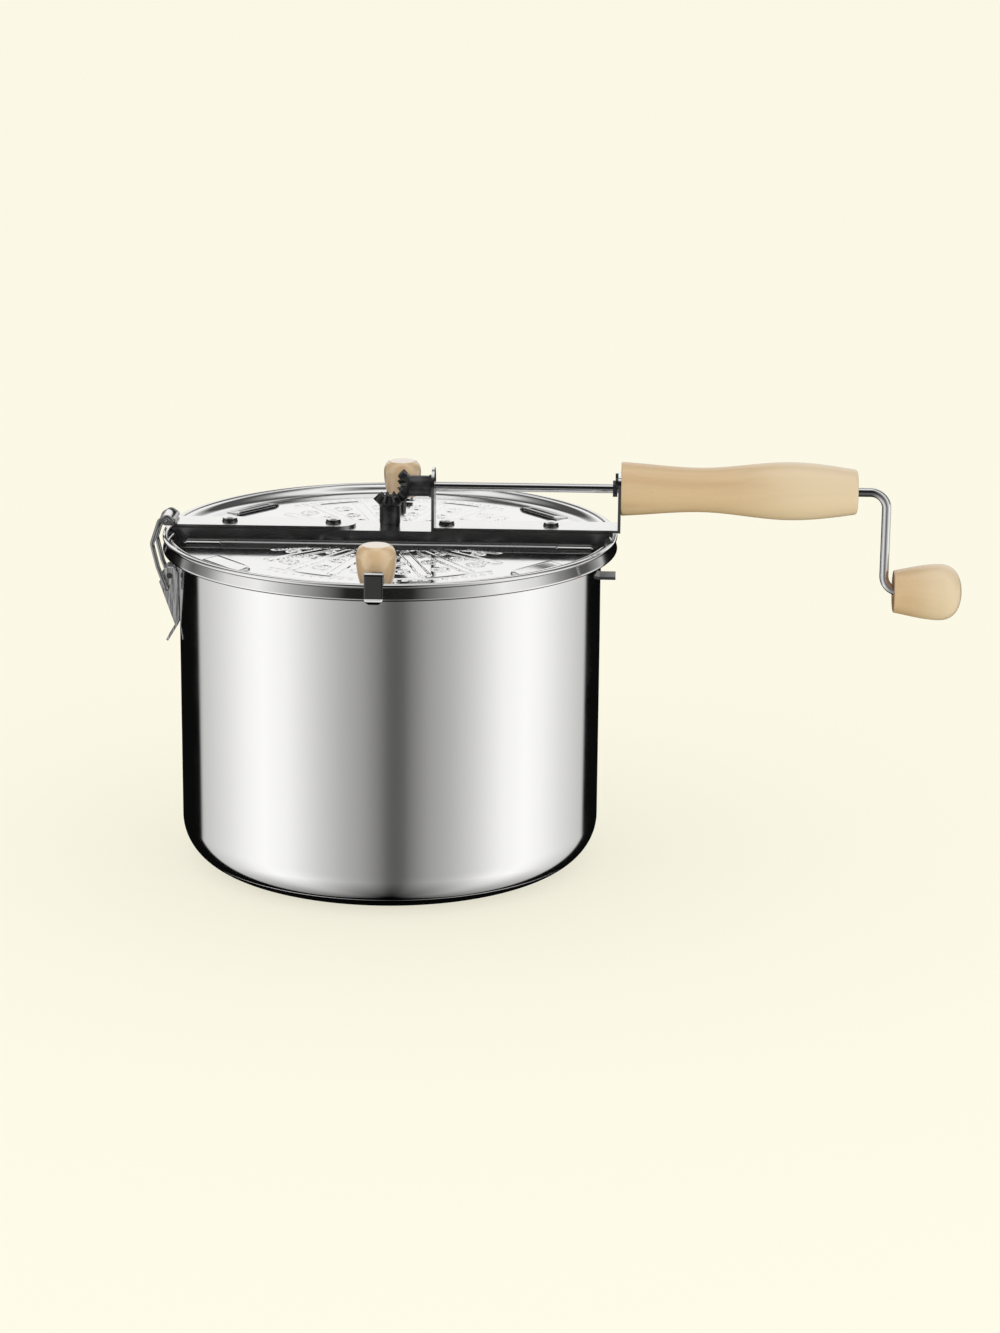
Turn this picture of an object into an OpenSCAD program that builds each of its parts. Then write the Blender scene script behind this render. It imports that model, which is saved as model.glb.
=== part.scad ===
// Stovetop popcorn popper: a steel pot with a hand-cranked stirrer and a two-flap lid.
// Millimetres. The origin is on the pot's axis, on the surface that the pot stands on.
// +X points along the crank, -Y to the front flap and +Z up.

/* [Pot] */
// Outer radius of the straight pot wall
pot_r = 111.6; // [105:0.1:118]
// Height of the rim above the surface
pot_h = 177.5; // [150:0.5:210]
// Thickness of the pot's sheet
pot_wall = 1.2; // [0.8:0.1:1.6]
// How far the collar round the mouth steps out from the wall
collar_out = 8.4; // [7:0.1:9.4]
// Height of the collar, from its underside to the rim
collar_h = 10; // [8:0.5:14]
// Height over which the collar's underside rounds out
collar_flare_h = 4.5; // [3:0.1:6]
// Outer radius of the bottom corner
corner_r = 23; // [18:0.5:26]
// Radius of the rolled bead on the rim
bead_r = 1.3; // [1:0.1:1.4]

/* [Base] */
// Thickness of the heat-spreading disc
core_t = 5; // [3:0.1:6]
// Thickness of the cap pressed over the disc
cap_t = 1; // [0.6:0.1:1.2]

/* [Lid bar] */
// Width of the bar across the mouth
bar_w = 24; // [20:0.5:30]
// Height of the bar's top face above the rim
bar_rise = 2.3; // [2:0.1:5]
// Thickness of the bar's sheet
bar_t = 1.5; // [1:0.1:2]
// Distance from the collar's edge in to the left end of the bar's top plate
bar_left_in = 6; // [5:0.5:8]
// Distance from the collar's edge in to the right end of the bar's top plate
bar_right_in = 3; // [2:0.5:6]
// Distance from the bar's edges in to the edges of the straps screwed on it
strap_in = 2; // [1:0.1:4]
// Thickness of the straps
strap_t = 1.5; // [1:0.1:2]
// Distance from the axis to the inner pair of strap screws
screw_near = 30; // [28:0.5:40]
// Distance from the hook leg in to the outer pair of strap screws
screw_in = 21; // [12:0.5:22]

/* [Lid flaps] */
// Gap between the flaps' edge and the rim's bead
rim_room = 0.8; // [0.6:0.1:1.6]
// Thickness of the flap's sheet
flap_t = 0.8; // [0.6:0.1:1]
// Height of the flap's underside below the rim
flap_drop = 5.3; // [4.5:0.1:6]
// Height of the raised edge above the flap's underside
edge_h = 4.8; // [4:0.1:4.8]
// Distance of the hinge axes outside the bar's walls
hinge_out = 2.5; // [2.5:0.1:4]
// Outer radius of the flap's hinge barrel
barrel_r = 2.2; // [2:0.05:2.2]
// Radius of the hinge pins
hinge_pin_r = 1; // [0.8:0.05:1.1]
// Length of each of the bar's hinge knuckles
knuckle_len = 17.7; // [10:0.1:25]
// Distance of the lid knobs' middle from the flaps' edge
knob_in = 14.6; // [14:0.1:20]
// Height of the lid knobs
lid_knob_h = 19.5; // [15:0.5:22]
// Largest radius of the lid knobs
lid_knob_r = 10.25; // [9:0.05:11]

/* [Drive] */
// Height of the crank axis above the bar's top face
crank_rise = 21.8; // [19.5:0.1:26]
// Radius of the crank rod and of the stirrer shaft
shaft_r = 2.38; // [2:0.01:2.6]
// Number of teeth on each bevel gear
gear_teeth = 10; // [8:2:12]
// Pitch radius of the gears at their large end
pitch_r = 8; // [7:0.1:8.2]
// Radius of the gears' hubs
hub_r = 5.5; // [5:0.1:6]

/* [Crank and handle] */
// Length of the turned handle
handle_len = 123; // [100:0.5:140]
// Radius of the handle at the pot's end
handle_end_r = 14.15; // [13:0.05:16]
// Radius of the handle's waist
waist_r = 11.6; // [10:0.05:13]
// Radius of the handle's belly
belly_r = 15.15; // [13:0.05:17]
// Radius of the handle at the crank's end
tail_r = 11.6; // [10:0.05:13]
// Offset of the crank knob's axis from the crank axis
crank_arm = 53; // [40:0.5:70]
// Length of the crank knob
crank_knob_len = 35.5; // [30:0.5:45]
// Largest radius of the crank knob
crank_knob_r = 14.75; // [12:0.05:17]

/* [Stirrer] */
// Radius of the stirring wire
wire_r = 1.6; // [1:0.05:1.8]
// Gap between the stirring wire's ends and the pot's wall, to the middle of the wire
stir_gap = 12.4; // [11:0.1:30]
// Height of the upright ends of the stirring wire
stir_rise = 36; // [20:0.5:60]

/* [Latch] */
// Distance of the lever's pivot below the bar's top face
lever_drop = 27.3; // [25.8:0.1:29.8]
// Distance of the lever's pivot from the pot wall
lever_off = 5.2; // [5.2:0.1:6]
// Radius of the bail's wire
bail_r = 1.2; // [1:0.05:1.3]
// Distance of the bail's legs from the middle of the latch
bail_half = 9.2; // [9.2:0.1:11]

/* [Hidden] */
$fn = 64;

// Clearances: a turning fit, a pressed or seated fit, a free gap, and the overrun of every cut
run_gap = 0.08;
seat_gap = 0.05;
free_gap = 0.3;
over = 1;

// Segments in a rounded stretch of an outline
arc_steps = 8;

// Angle below the horizontal, about the corner's centre, at which the base cap's edge ends
cap_edge_angle = 42;

// Heights of the base, from the surface up to the pot's inner floor
base_top = cap_t + core_t;
floor_z = base_top + pot_wall;
collar_z = pot_h - collar_h;
collar_r = pot_r + collar_out;
stir_reach = pot_r - pot_wall - stir_gap;

// Heights of the bar, of what is screwed on it and of what is set out from it
bar_top = pot_h + bar_rise;
crank_z = bar_top + crank_rise;
lever_z = bar_top - lever_drop;
plate_low = bar_top - bar_t;
strap_top = bar_top + strap_t;
bar_inner_w = bar_w - 2 * bar_t;
strap_w = bar_w - 2 * strap_in;
bar_left = collar_r - bar_left_in;
bar_right = collar_r - bar_right_in;
// Reach of the bar's side walls, which drop inside the collar
wall_out = 1.8;
wall_reach = pot_r + wall_out;
// The walls stop just above the collar's inner shoulder
bar_low = shoulder_z(norm([wall_reach, bar_w / 2])) + free_gap;

// Flap sizes and the hinge axis, which sits just under the sheet
flap_r = collar_r - 2 * bead_r - rim_room;
flap_low = pot_h - flap_drop;
flap_top = flap_low + flap_t;
hinge_drop = 0.4;
hinge_z = flap_low - hinge_drop;
hinge_y = bar_w / 2 + hinge_out;
// The raised edge stops this far outside the hinge, so that an open flap passes the bar
edge_gap = 12.5;
edge_start = hinge_y + edge_gap;
// Width of the sloping part of the raised edge
edge_slope = 3.6;
// Half the spread of the bar's hinge knuckles, and half the length of the barrels between them
knuckle_in = 5.1;
knuckle_end = pot_r - knuckle_in;
knuckle_r = 1.85;
barrel_half = knuckle_end - knuckle_len - free_gap;
knob_y = flap_r - knob_in;

// Strap screws: a domed hexagon head on a thin flange, with a plain shank
screw_r = 2;
screw_head_r = 3.9;
screw_flange_r = 4.2;
screw_flange_t = 0.7;
screw_head_h = 2.6;
screw_dome_share = 1.8;
nut_r = 3.8;
nut_h = 3;

// The hook leg under the bar's right end, which fits between the bar's walls
leg_t = 1.5;
leg_room = 0.5;
leg_w = bar_inner_w - 2 * leg_room;
leg_in = 5.6;
leg_x = pot_r - leg_in;
leg_flange = 28;
screw_far = leg_x - screw_in;
tongue_drop = 24.4;
tongue_z = plate_low - tongue_drop;
tongue_out = 7.8;
tongue_reach = pot_r + tongue_out;
// The tongue is narrower than the leg
stub_w = 13;
slot_room = 0.5;

// The gear bracket's uprights, of which the far one stands over the collar's edge
near_x = 22.3;
far_x = collar_r;
near_top_r = strap_w / 2;
far_top = 7.5;
far_corner = 4;

// Bevel gears: shares of the pitch and of the cone given to a tooth, how far teeth reach about
// the pitch cone, and how far the hubs reach back from the point where the two axes meet
tooth_share = 0.3;
flank_angle = 22;
face_share = 0.375;
addendum = 1.05;
dedendum = 1.8;
drive_hub_back = 20.7;
driven_hub_back = crank_rise - strap_t - free_gap;
shaft_bush_r = 4;
bush_flange_r = 5.3;
bush_low = 4.8;

// Crank rod: where the bends lie
rod_tip = 7;
bend_r = 8.5;
arm_gap = 15.5;
handle_x = far_x + strap_t;
arm_x = handle_x + handle_len + arm_gap;
// The knob's face is nearer to the arm than the bend is long, so the bend ends in the knob's mouth
knob_gap = 5.1;
knob_x = arm_x + knob_gap;

// Handle screws: their places about the crank axis
handle_screw_y = 6.1;
handle_screw_z = 4.4;
handle_screw_r = 1.5;
handle_screw_head_r = 2.5;
handle_screw_head_h = 1.5;
handle_screw_len = 22;

// Latch: places in its side view, as offsets from the lever's pivot
lever_x = -pot_r - lever_off;
lever_pin_r = 1.5;
cheek_r = 4.6;
cheek_t = 1.2;
cheek_half = 7.5;
ear_half = 5.8;
ear_t = 1.2;
bracket_low = 11.5;
bracket_high = 9;
rivet_r = 1.6;
rivet_head_r = 2.7;
rivet_head_h = 1.1;
rivet_low = 7.8;
rivet_high = 6.2;
bail_pivot = [-1.5, -7];
bail_knee = [-5.9, 5.2];
// The bail's legs pass outside the collar, and its upper bends are set out from the catch
elbow_out = 5.6;
elbow_up = 17.7;
shoulder_out = 1.4;
shoulder_up = 2.9;
crown_up = 5.3;
hook_up = 3;
bail_elbow = [lever_off - collar_out - elbow_out, elbow_up];
bail_shoulder = [lever_off - collar_out - shoulder_out, lever_drop + shoulder_up];
bail_crown = [-0.6, lever_drop + crown_up];
bail_hook = [2.8, lever_drop + hook_up];
web_top = [-5.1, -3];
web_low = [3.2, -27.1];
tail_tip = [-1.9, -35.5];
web_t = 1.2;

// Catch: the strap's tongue and its rolled end
catch_in = 2;
catch_reach = bar_left - catch_in;
catch_inner = 18;
tongue_w = 15;
roll_r = 2.75;
roll_out = 1.45;
roll_x = lever_x - roll_out;

// Lid knobs, clips and vents
knob_foot_r = 8.25;
knob_top_r = 7.4;
clip_w = 9.4;
clip_t = 1;
clip_inner = 9;
clip_lip = 1.6;
clip_out = 0.5;
clip_drop = 10;
clip_rise = 5;
knob_screw_r = 2;
knob_screw_head_r = 4;
knob_screw_head_h = 2.2;
knob_screw_len = 14;
vent_in = 17.8;
vent_r = flap_r - vent_in;
vent_angle = 39;
vent_len = 30;
vent_w = 2.6;
vent_lip_h = 1.6;
vent_lip_t = 0.8;

// Raised ribs on the flaps, fanning out from the middle of the bar
rib_angles = [26, 42, 58, 74];
rib_start_share = 0.309;
rib_end_share = 0.72;
rib_start = flap_r * rib_start_share;
rib_end = flap_r * rib_end_share;
rib_w = 5;
rib_h = 0.6;

// Points on an arc about c, from angle a0 to a1
function arc_points(c, r, a0, a1) =
    [for (i = [0 : arc_steps]) let (a = a0 + (a1 - a0) * i / arc_steps) c + r * [cos(a), sin(a)]];

// Height of the collar's inner shoulder at radius r, where the sheet flares out
function shoulder_z(r) =
    let (s = (r - pot_r + pot_wall) / (collar_r - pot_r))
    collar_z + pot_wall + collar_flare_h * (1 - sqrt(1 - s * s));

// Points of the flare, shifted in and up by the sheet's thickness on the inside
function flare_points(inset) =
    [for (i = [0 : arc_steps]) let (a = 90 * i / arc_steps)
        [pot_r - inset + (collar_r - pot_r) * sin(a),
         collar_z + inset + collar_flare_h * (1 - cos(a))]];

function reversed(list) = [for (i = [len(list) - 1 : -1 : 0]) list[i]];

// Radius on a smooth curve through knots of [place, radius, slope]
function curve_r(knots, x, i = 0) =
    i < len(knots) - 2 && x > knots[i + 1][0] ? curve_r(knots, x, i + 1) :
    let (a = knots[i], b = knots[i + 1], w = b[0] - a[0], t = (x - a[0]) / w)
    a[1] * (2 * t * t * t - 3 * t * t + 1) + b[1] * (3 * t * t - 2 * t * t * t)
    + w * a[2] * (t * t * t - 2 * t * t + t) + w * b[2] * (t * t * t - t * t);

function unit(v) = v / norm(v);

// One side of a strip of sheet seen edge-on, half its thickness t away from the line through points
function band_side(points, t, side) =
    let (last = len(points) - 1)
    [for (i = [0 : last]) let (
        d0 = unit(points[max(i, 1)] - points[max(i, 1) - 1]),
        d1 = unit(points[min(i, last - 1) + 1] - points[min(i, last - 1)]),
        d = (d0 + d1) / (1 + d0 * d1)
    ) points[i] + side * t / 2 * [-d[1], d[0]]];

module band(points, t) {
    polygon(concat(band_side(points, t, 1), reversed(band_side(points, t, -1))));
}

// A bent round wire through points, which swells a little at each bend as a pinched wire does
bend_swell_share = 1.1;

module wire(points, r) {
    for (i = [0 : len(points) - 2]) {
        d = points[i + 1] - points[i];
        translate(points[i]) rotate([0, acos(d[2] / norm(d)), atan2(d[1], d[0])])
            cylinder(h = norm(d), r = r, $fn = 32);
    }
    for (p = points) translate(p) sphere(r = r * bend_swell_share, $fn = 32);
}

// Stands a profile drawn in X and Z on edge, centred on Y
module side_plate(w) {
    translate([0, w / 2, 0]) rotate([90, 0, 0]) linear_extrude(w) children();
}

// A cylinder along X, starting at x
module rod_x(x, len, r) {
    translate([x, 0, 0]) rotate([0, 90, 0]) cylinder(h = len, r = r);
}

// A cylinder along Y, centred
module rod_y(len, r) {
    rotate([90, 0, 0]) cylinder(h = len, r = r, center = true);
}

// Lays a shape turned about Z along the crank axis
module on_crank() {
    translate([0, 0, crank_z]) rotate([0, 90, 0]) children();
}

corner_c = [pot_r - corner_r, corner_r];
// The shell steps in below the cap's edge, and its inside steps in a little above it
cap_inner_r = corner_r - cap_t;
shell_inner_r = cap_inner_r - seat_gap - pot_wall;
flat_angle = -asin((corner_r - base_top) / (cap_inner_r - seat_gap));
inner_flat_angle = -asin((corner_r - floor_z) / shell_inner_r);
blend_angle = 12;

module pot_profile() {
    polygon(concat(
        [[0, base_top]],
        arc_points(corner_c, cap_inner_r - seat_gap, flat_angle, -cap_edge_angle),
        arc_points(corner_c, corner_r, -cap_edge_angle, 0),
        flare_points(0),
        [[collar_r, pot_h - bead_r], [collar_r - pot_wall, pot_h - bead_r]],
        reversed(flare_points(pot_wall)),
        arc_points(corner_c, corner_r - pot_wall, 0, blend_angle - cap_edge_angle),
        arc_points(corner_c, shell_inner_r, blend_angle / 3 - cap_edge_angle, inner_flat_angle),
        [[0, floor_z]]
    ));
    translate([collar_r - bead_r, pot_h - bead_r]) circle(r = bead_r);
}

module pot_shell() {
    color("silver") difference() {
        rotate_extrude() pot_profile();
        // Slot for the hook leg's tongue
        translate([leg_x, -stub_w / 2 - slot_room, tongue_z])
            cube([tongue_reach - leg_x, stub_w + 2 * slot_room, leg_t + slot_room]);
        rivet_holes(rivet_r + seat_gap);
    }
}

module base_core() {
    color("lightgray") rotate_extrude() polygon(concat(
        [[0, cap_t]],
        [[corner_c[0], cap_t]],
        arc_points(corner_c, cap_inner_r - seat_gap, -90 + blend_angle, flat_angle),
        [[0, base_top]]
    ));
}

module base_cap() {
    color("silver") rotate_extrude() polygon(concat(
        [[0, 0]],
        arc_points(corner_c, corner_r, -90, -cap_edge_angle),
        arc_points(corner_c, cap_inner_r, -cap_edge_angle, -90),
        [[0, cap_t]]
    ));
}

// The four strap screws' places along the bar
screw_xs = [-screw_far, -screw_near, screw_near, screw_far];

module screw_holes(z, h) {
    for (x = screw_xs) translate([x, 0, z - over]) cylinder(h = h + 2 * over, r = screw_r + seat_gap);
}

module cross_bar() {
    color("silver") difference() {
        union() {
            translate([-bar_left, -bar_w / 2, plate_low]) cube([bar_left + bar_right, bar_w, bar_t]);
            for (s = [-1, 1]) {
                translate([-wall_reach, s > 0 ? bar_inner_w / 2 : -bar_w / 2, bar_low])
                    cube([2 * wall_reach, bar_t, plate_low - bar_low + bar_t / 2]);
                bar_knuckles(s);
            }
        }
        screw_holes(plate_low, bar_t);
        translate([0, 0, plate_low - over]) cylinder(h = bar_t + 2 * over, r = shaft_bush_r + seat_gap);
    }
}

// The bar's pair of hinge knuckles on side s, with the leaf that joins them to the wall
module bar_knuckles(s) {
    for (m = [-1, 1]) {
        x = m > 0 ? barrel_half + free_gap : -knuckle_end;
        difference() {
            union() {
                translate([0, s * hinge_y, hinge_z]) rod_x(x, knuckle_len, knuckle_r);
                translate([x, s > 0 ? bar_w / 2 - bar_t / 2 : -hinge_y, hinge_z - knuckle_r / 3])
                    cube([knuckle_len, hinge_y - bar_w / 2 + bar_t / 2, 2 * knuckle_r / 3]);
            }
            translate([0, s * hinge_y, hinge_z])
                rod_x(x - over, knuckle_len + 2 * over, hinge_pin_r + seat_gap);
        }
    }
}

module hinge_pin(s) {
    color("gray") translate([0, s * hinge_y, hinge_z])
        rod_x(-knuckle_end - knuckle_r / 2, 2 * knuckle_end + knuckle_r, hinge_pin_r);
}

module front_hinge_pin() { hinge_pin(-1); }
module rear_hinge_pin() { hinge_pin(1); }

module hook_leg() {
    top = plate_low;
    color("silver") difference() {
        union() {
            side_plate(leg_w) polygon([
                [leg_x + leg_t - leg_flange, top], [leg_x + leg_t, top],
                [leg_x + leg_t, tongue_z], [leg_x, tongue_z],
                [leg_x, top - leg_t], [leg_x + leg_t - leg_flange, top - leg_t]
            ]);
            side_plate(stub_w) translate([leg_x, tongue_z]) square([tongue_reach - leg_x, leg_t]);
        }
        screw_holes(top - leg_t, leg_t);
    }
}

module catch_strap() {
    color("silver") difference() {
        union() {
            translate([-catch_reach, -strap_w / 2, bar_top])
                cube([catch_reach - catch_inner - strap_w / 2, strap_w, strap_t]);
            translate([-catch_inner - strap_w / 2, 0, bar_top]) cylinder(h = strap_t, r = strap_w / 2);
            translate([roll_x, -tongue_w / 2, bar_top])
                cube([-roll_x - catch_reach + over, tongue_w, strap_t]);
            translate([roll_x, 0, bar_top + roll_r]) rod_y(tongue_w, roll_r);
        }
        translate([roll_x, 0, bar_top + roll_r]) rod_y(tongue_w + 2 * over, roll_r - strap_t);
        screw_holes(bar_top, strap_t);
    }
}

module gear_bracket() {
    color("silver") difference() {
        union() {
            translate([near_x, -strap_w / 2, bar_top]) cube([far_x + strap_t - near_x, strap_w, strap_t]);
            // Near upright, rounded about the crank axis
            translate([near_x, -strap_w / 2, bar_top]) cube([strap_t, strap_w, crank_z - bar_top]);
            translate([0, 0, crank_z]) rod_x(near_x, strap_t, near_top_r);
            // Far upright, with two rounded corners
            translate([far_x, -strap_w / 2, bar_top])
                cube([strap_t, strap_w, crank_z + far_top - far_corner - bar_top]);
            translate([far_x, -strap_w / 2 + far_corner, bar_top])
                cube([strap_t, strap_w - 2 * far_corner, crank_z + far_top - bar_top]);
            for (s = [-1, 1])
                translate([0, s * (strap_w / 2 - far_corner), crank_z + far_top - far_corner])
                    rod_x(far_x, strap_t, far_corner);
        }
        screw_holes(bar_top, strap_t);
        translate([0, 0, crank_z])
            rod_x(near_x - over, far_x + strap_t - near_x + 2 * over, shaft_r + run_gap);
        handle_screw_holes(far_x - over, strap_t + 2 * over);
    }
}

module strap_screws() {
    color("gray") for (x = screw_xs) translate([x, 0, strap_top]) {
        cylinder(h = screw_flange_t, r = screw_flange_r);
        intersection() {
            cylinder(h = screw_head_h, r = screw_head_r, $fn = 6);
            translate([0, 0, screw_head_h - screw_head_r * screw_dome_share])
                sphere(r = screw_head_r * screw_dome_share);
        }
        translate([0, 0, -strap_t - bar_t - leg_t - nut_h])
            cylinder(h = strap_t + bar_t + leg_t + nut_h, r = screw_r);
    }
}

module strap_nuts() {
    // The outer right screw also holds the hook leg, so its nut sits lower
    color("gray") for (x = screw_xs)
        translate([x, 0, plate_low - nut_h - (x == screw_far ? leg_t : 0)]) difference() {
            cylinder(h = nut_h, r = nut_r, $fn = 6);
            translate([0, 0, -over]) cylinder(h = nut_h + 2 * over, r = screw_r + seat_gap);
        }
}

module shaft_bush() {
    color("dimgray") difference() {
        union() {
            translate([0, 0, bar_top]) cylinder(h = strap_t, r = bush_flange_r);
            translate([0, 0, bar_top - bush_low]) cylinder(h = bush_low + strap_t, r = shaft_bush_r);
        }
        translate([0, 0, bar_top - bush_low - over])
            cylinder(h = bush_low + strap_t + 2 * over, r = shaft_r + run_gap);
    }
}

// Turned outline of the handle, from the pot's end to the crank's end
waist_at_share = 0.336;
belly_at_share = 0.717;
pot_end_slope = -0.05;
crank_end_slope = -0.16;
handle_knots = [
    [0, handle_end_r, pot_end_slope], [handle_len * waist_at_share, waist_r, 0],
    [handle_len * belly_at_share, belly_r, 0], [handle_len, tail_r, crank_end_slope]
];
handle_steps = 28;
edge_round = 0.8;

module handle_grip() {
    bore_r = shaft_r + free_gap;
    color("burlywood") difference() {
        on_crank() rotate_extrude() polygon(concat(
            [[bore_r, handle_x], [handle_end_r - edge_round, handle_x]],
            [for (i = [0 : handle_steps])
                let (x = edge_round + (handle_len - 2 * edge_round) * i / handle_steps)
                [curve_r(handle_knots, x), handle_x + x]],
            [[tail_r - edge_round, handle_x + handle_len], [bore_r, handle_x + handle_len]]
        ));
        handle_screw_holes(handle_x - over, handle_screw_len + over);
    }
}

module handle_screw_holes(x, len) {
    for (s = [-1, 1]) translate([0, s * handle_screw_y, crank_z + handle_screw_z])
        rod_x(x, len, handle_screw_r + seat_gap);
}

module handle_screws() {
    color("gray") for (s = [-1, 1]) translate([0, s * handle_screw_y, crank_z + handle_screw_z]) {
        rod_x(far_x - handle_screw_head_h, handle_screw_head_h, handle_screw_head_r);
        rod_x(far_x - handle_screw_head_h, handle_screw_head_h + handle_screw_len, handle_screw_r);
    }
}

// Latch rivets: heights about the lever's pivot
rivet_zs = [lever_z - rivet_low, lever_z + rivet_high];

module rivet_holes(r) {
    for (z = rivet_zs) translate([0, 0, z]) rod_x(-pot_r - 2 * over - ear_t, pot_wall + ear_t + 4 * over, r);
}

module latch_bracket() {
    color("silver") difference() {
        union() {
            // Back plate, curved to the pot wall
            intersection() {
                rotate_extrude() translate([pot_r + seat_gap, lever_z - bracket_low])
                    square([ear_t, bracket_low + bracket_high]);
                translate([-collar_r, -ear_half, lever_z - bracket_low])
                    cube([collar_r - pot_r + 2 * ear_t, 2 * ear_half, bracket_low + bracket_high]);
            }
            for (s = [-1, 1]) translate([0, s * (ear_half - ear_t / 2), 0]) side_plate(ear_t) {
                translate([lever_x, lever_z]) circle(r = cheek_r - ear_t);
                translate([lever_x, lever_z - cheek_r + ear_t])
                    square([lever_off - seat_gap - ear_t / 2, 2 * (cheek_r - ear_t)]);
            }
        }
        translate([lever_x, 0, lever_z]) rod_y(2 * cheek_half + 2 * over, lever_pin_r + seat_gap);
        rivet_holes(rivet_r + seat_gap);
    }
}

module latch_rivets() {
    inner_x = -sqrt(pow(pot_r - pot_wall, 2) - pow(rivet_head_r, 2)) + free_gap / 3;
    color("gray") for (z = rivet_zs) translate([0, 0, z]) {
        rod_x(-pot_r - seat_gap - ear_t - rivet_head_h, rivet_head_h, rivet_head_r);
        rod_x(-pot_r - seat_gap - ear_t - rivet_head_h,
            inner_x + pot_r + seat_gap + ear_t + 2 * rivet_head_h, rivet_r);
        rod_x(inner_x, rivet_head_h, rivet_head_r);
    }
}

module lever_pin() {
    color("gray") translate([lever_x, 0, lever_z]) rod_y(2 * cheek_half, lever_pin_r);
}

lever_pivot = [lever_x, lever_z];

module latch_lever() {
    color("silver") difference() {
        union() {
            // Two cheeks, one on each side of the bracket's ears
            for (s = [-1, 1]) translate([0, s * (cheek_half - cheek_t / 2), 0]) side_plate(cheek_t)
                translate(lever_pivot) {
                    circle(r = cheek_r);
                    polygon([
                        [cheek_r, 0], [cheek_r, web_low[1] + 2 * web_t], web_low, web_top, [-cheek_r, 0]
                    ]);
                }
            // The outer web and its flared tail
            side_plate(2 * cheek_half) translate(lever_pivot) band([web_top, web_low, tail_tip], web_t);
        }
        translate([lever_x, 0, lever_z]) rod_y(2 * cheek_half + 2 * over, lever_pin_r + run_gap);
        translate([lever_x + bail_pivot[0], 0, lever_z + bail_pivot[1]])
            rod_y(2 * cheek_half + 2 * over, bail_r + run_gap);
    }
}

// Side view of one bail leg, from its eye in the lever up and over the catch
bail_path = [bail_pivot, bail_knee, bail_elbow, bail_shoulder, bail_crown, bail_hook];

// A place beside the latch: y from its middle, and an offset p in side view from the lever's pivot
function latch_point(y, p) = [lever_x + p[0], y, lever_z + p[1]];

// One unbroken wire: in at an eye, up one leg, across behind the catch and down the other leg.
// Its two ends run straight through the lever's cheeks.
module latch_bail() {
    color("silver") {
        wire(concat(
            [for (p = bail_path) latch_point(-bail_half, p)],
            [for (p = reversed(bail_path)) latch_point(bail_half, p)]
        ), bail_r);
        for (s = [-1, 1]) translate(latch_point(s * (bail_half + cheek_half - cheek_t) / 2, bail_pivot))
            rod_y(bail_half - cheek_half + cheek_t, bail_r);
    }
}

module crank_rod() {
    low_z = crank_z - crank_arm;
    color("silver") {
        difference() {
            translate([0, 0, crank_z]) rod_x(rod_tip, arm_x - bend_r - rod_tip, shaft_r);
            gear_pin_hole();
        }
        translate([arm_x - bend_r, 0, crank_z - bend_r]) rotate([90, 0, 0])
            rotate_extrude(angle = 90) translate([bend_r, 0]) circle(r = shaft_r);
        translate([arm_x, 0, low_z + bend_r]) cylinder(h = crank_arm - 2 * bend_r, r = shaft_r);
        translate([arm_x + bend_r, 0, low_z + bend_r]) rotate([90, 0, 0]) rotate([0, 0, 180])
            rotate_extrude(angle = 90) translate([bend_r, 0]) circle(r = shaft_r);
        translate([0, 0, low_z]) rod_x(arm_x + bend_r, rod_end - arm_x - bend_r, shaft_r);
    }
}

// One bevel gear with its axis up and the point where the two axes meet at the origin.
// Teeth lie on a cone of 45 degrees and the hub hangs below. The gap at 0 degrees faces +X.
module bevel_gear(hub_back) {
    small = pitch_r * (1 - face_share);
    add = addendum * sqrt(0.5);
    ded = dedendum * sqrt(0.5);
    difference() {
        rotate_extrude() polygon([
            [shaft_r + seat_gap, -small - ded], [small - ded, -small - ded], [small + add, -small + add],
            [pitch_r + add, -pitch_r + add], [hub_r, -2 * pitch_r + hub_r],
            [hub_r, -hub_back], [shaft_r + seat_gap, -hub_back]
        ]);
        for (i = [0 : gear_teeth - 1]) rotate(360 * i / gear_teeth) tooth_gap();
    }
}

// The space between two teeth: a wedge that narrows to the point where the axes meet
module tooth_gap() {
    reach_share = 1.5;
    cone = pitch_r * sqrt(2) * reach_share;
    low = dedendum * reach_share;
    top = (addendum + over) * reach_share;
    mid = (1 - tooth_share) * PI * pitch_r / gear_teeth * reach_share;
    w_low = mid - low * tan(flank_angle);
    w_top = mid + top * tan(flank_angle);
    rotate([0, 45, 0]) polyhedron(
        points = [
            [0, 0, 0], [cone, -w_low, -low], [cone, w_low, -low], [cone, w_top, top], [cone, -w_top, top]
        ],
        faces = [[0, 1, 2], [0, 2, 3], [0, 3, 4], [0, 4, 1], [4, 3, 2, 1]]
    );
}

// The cross pin through each gear's hub, halfway between the teeth and the hub's end
pin_r = 1;
pin_at = 15.5;

module gear_pin_hole() {
    translate([pin_at, 0, crank_z]) rod_y(2 * hub_r + 2 * over, pin_r + seat_gap);
}

module drive_gear() {
    color("dimgray") difference() {
        // The gear's axis is laid along the crank, with its teeth towards the stirrer
        translate([0, 0, crank_z]) rotate([0, -90, 0]) bevel_gear(drive_hub_back);
        gear_pin_hole();
    }
}

module drive_gear_pin() {
    color("gray") translate([pin_at, 0, crank_z]) rod_y(2 * hub_r + pin_r / 2, pin_r);
}

module driven_pin_hole() {
    translate([0, 0, crank_z - pin_at]) rod_y(2 * hub_r + 2 * over, pin_r + seat_gap);
}

module driven_gear() {
    color("dimgray") difference() {
        // Half a tooth of turn puts its teeth in the drive gear's gaps
        translate([0, 0, crank_z]) rotate(180 / gear_teeth) bevel_gear(driven_hub_back);
        driven_pin_hole();
    }
}

module driven_gear_pin() {
    color("gray") translate([0, 0, crank_z - pin_at]) rod_y(2 * hub_r + pin_r / 2, pin_r);
}

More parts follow.
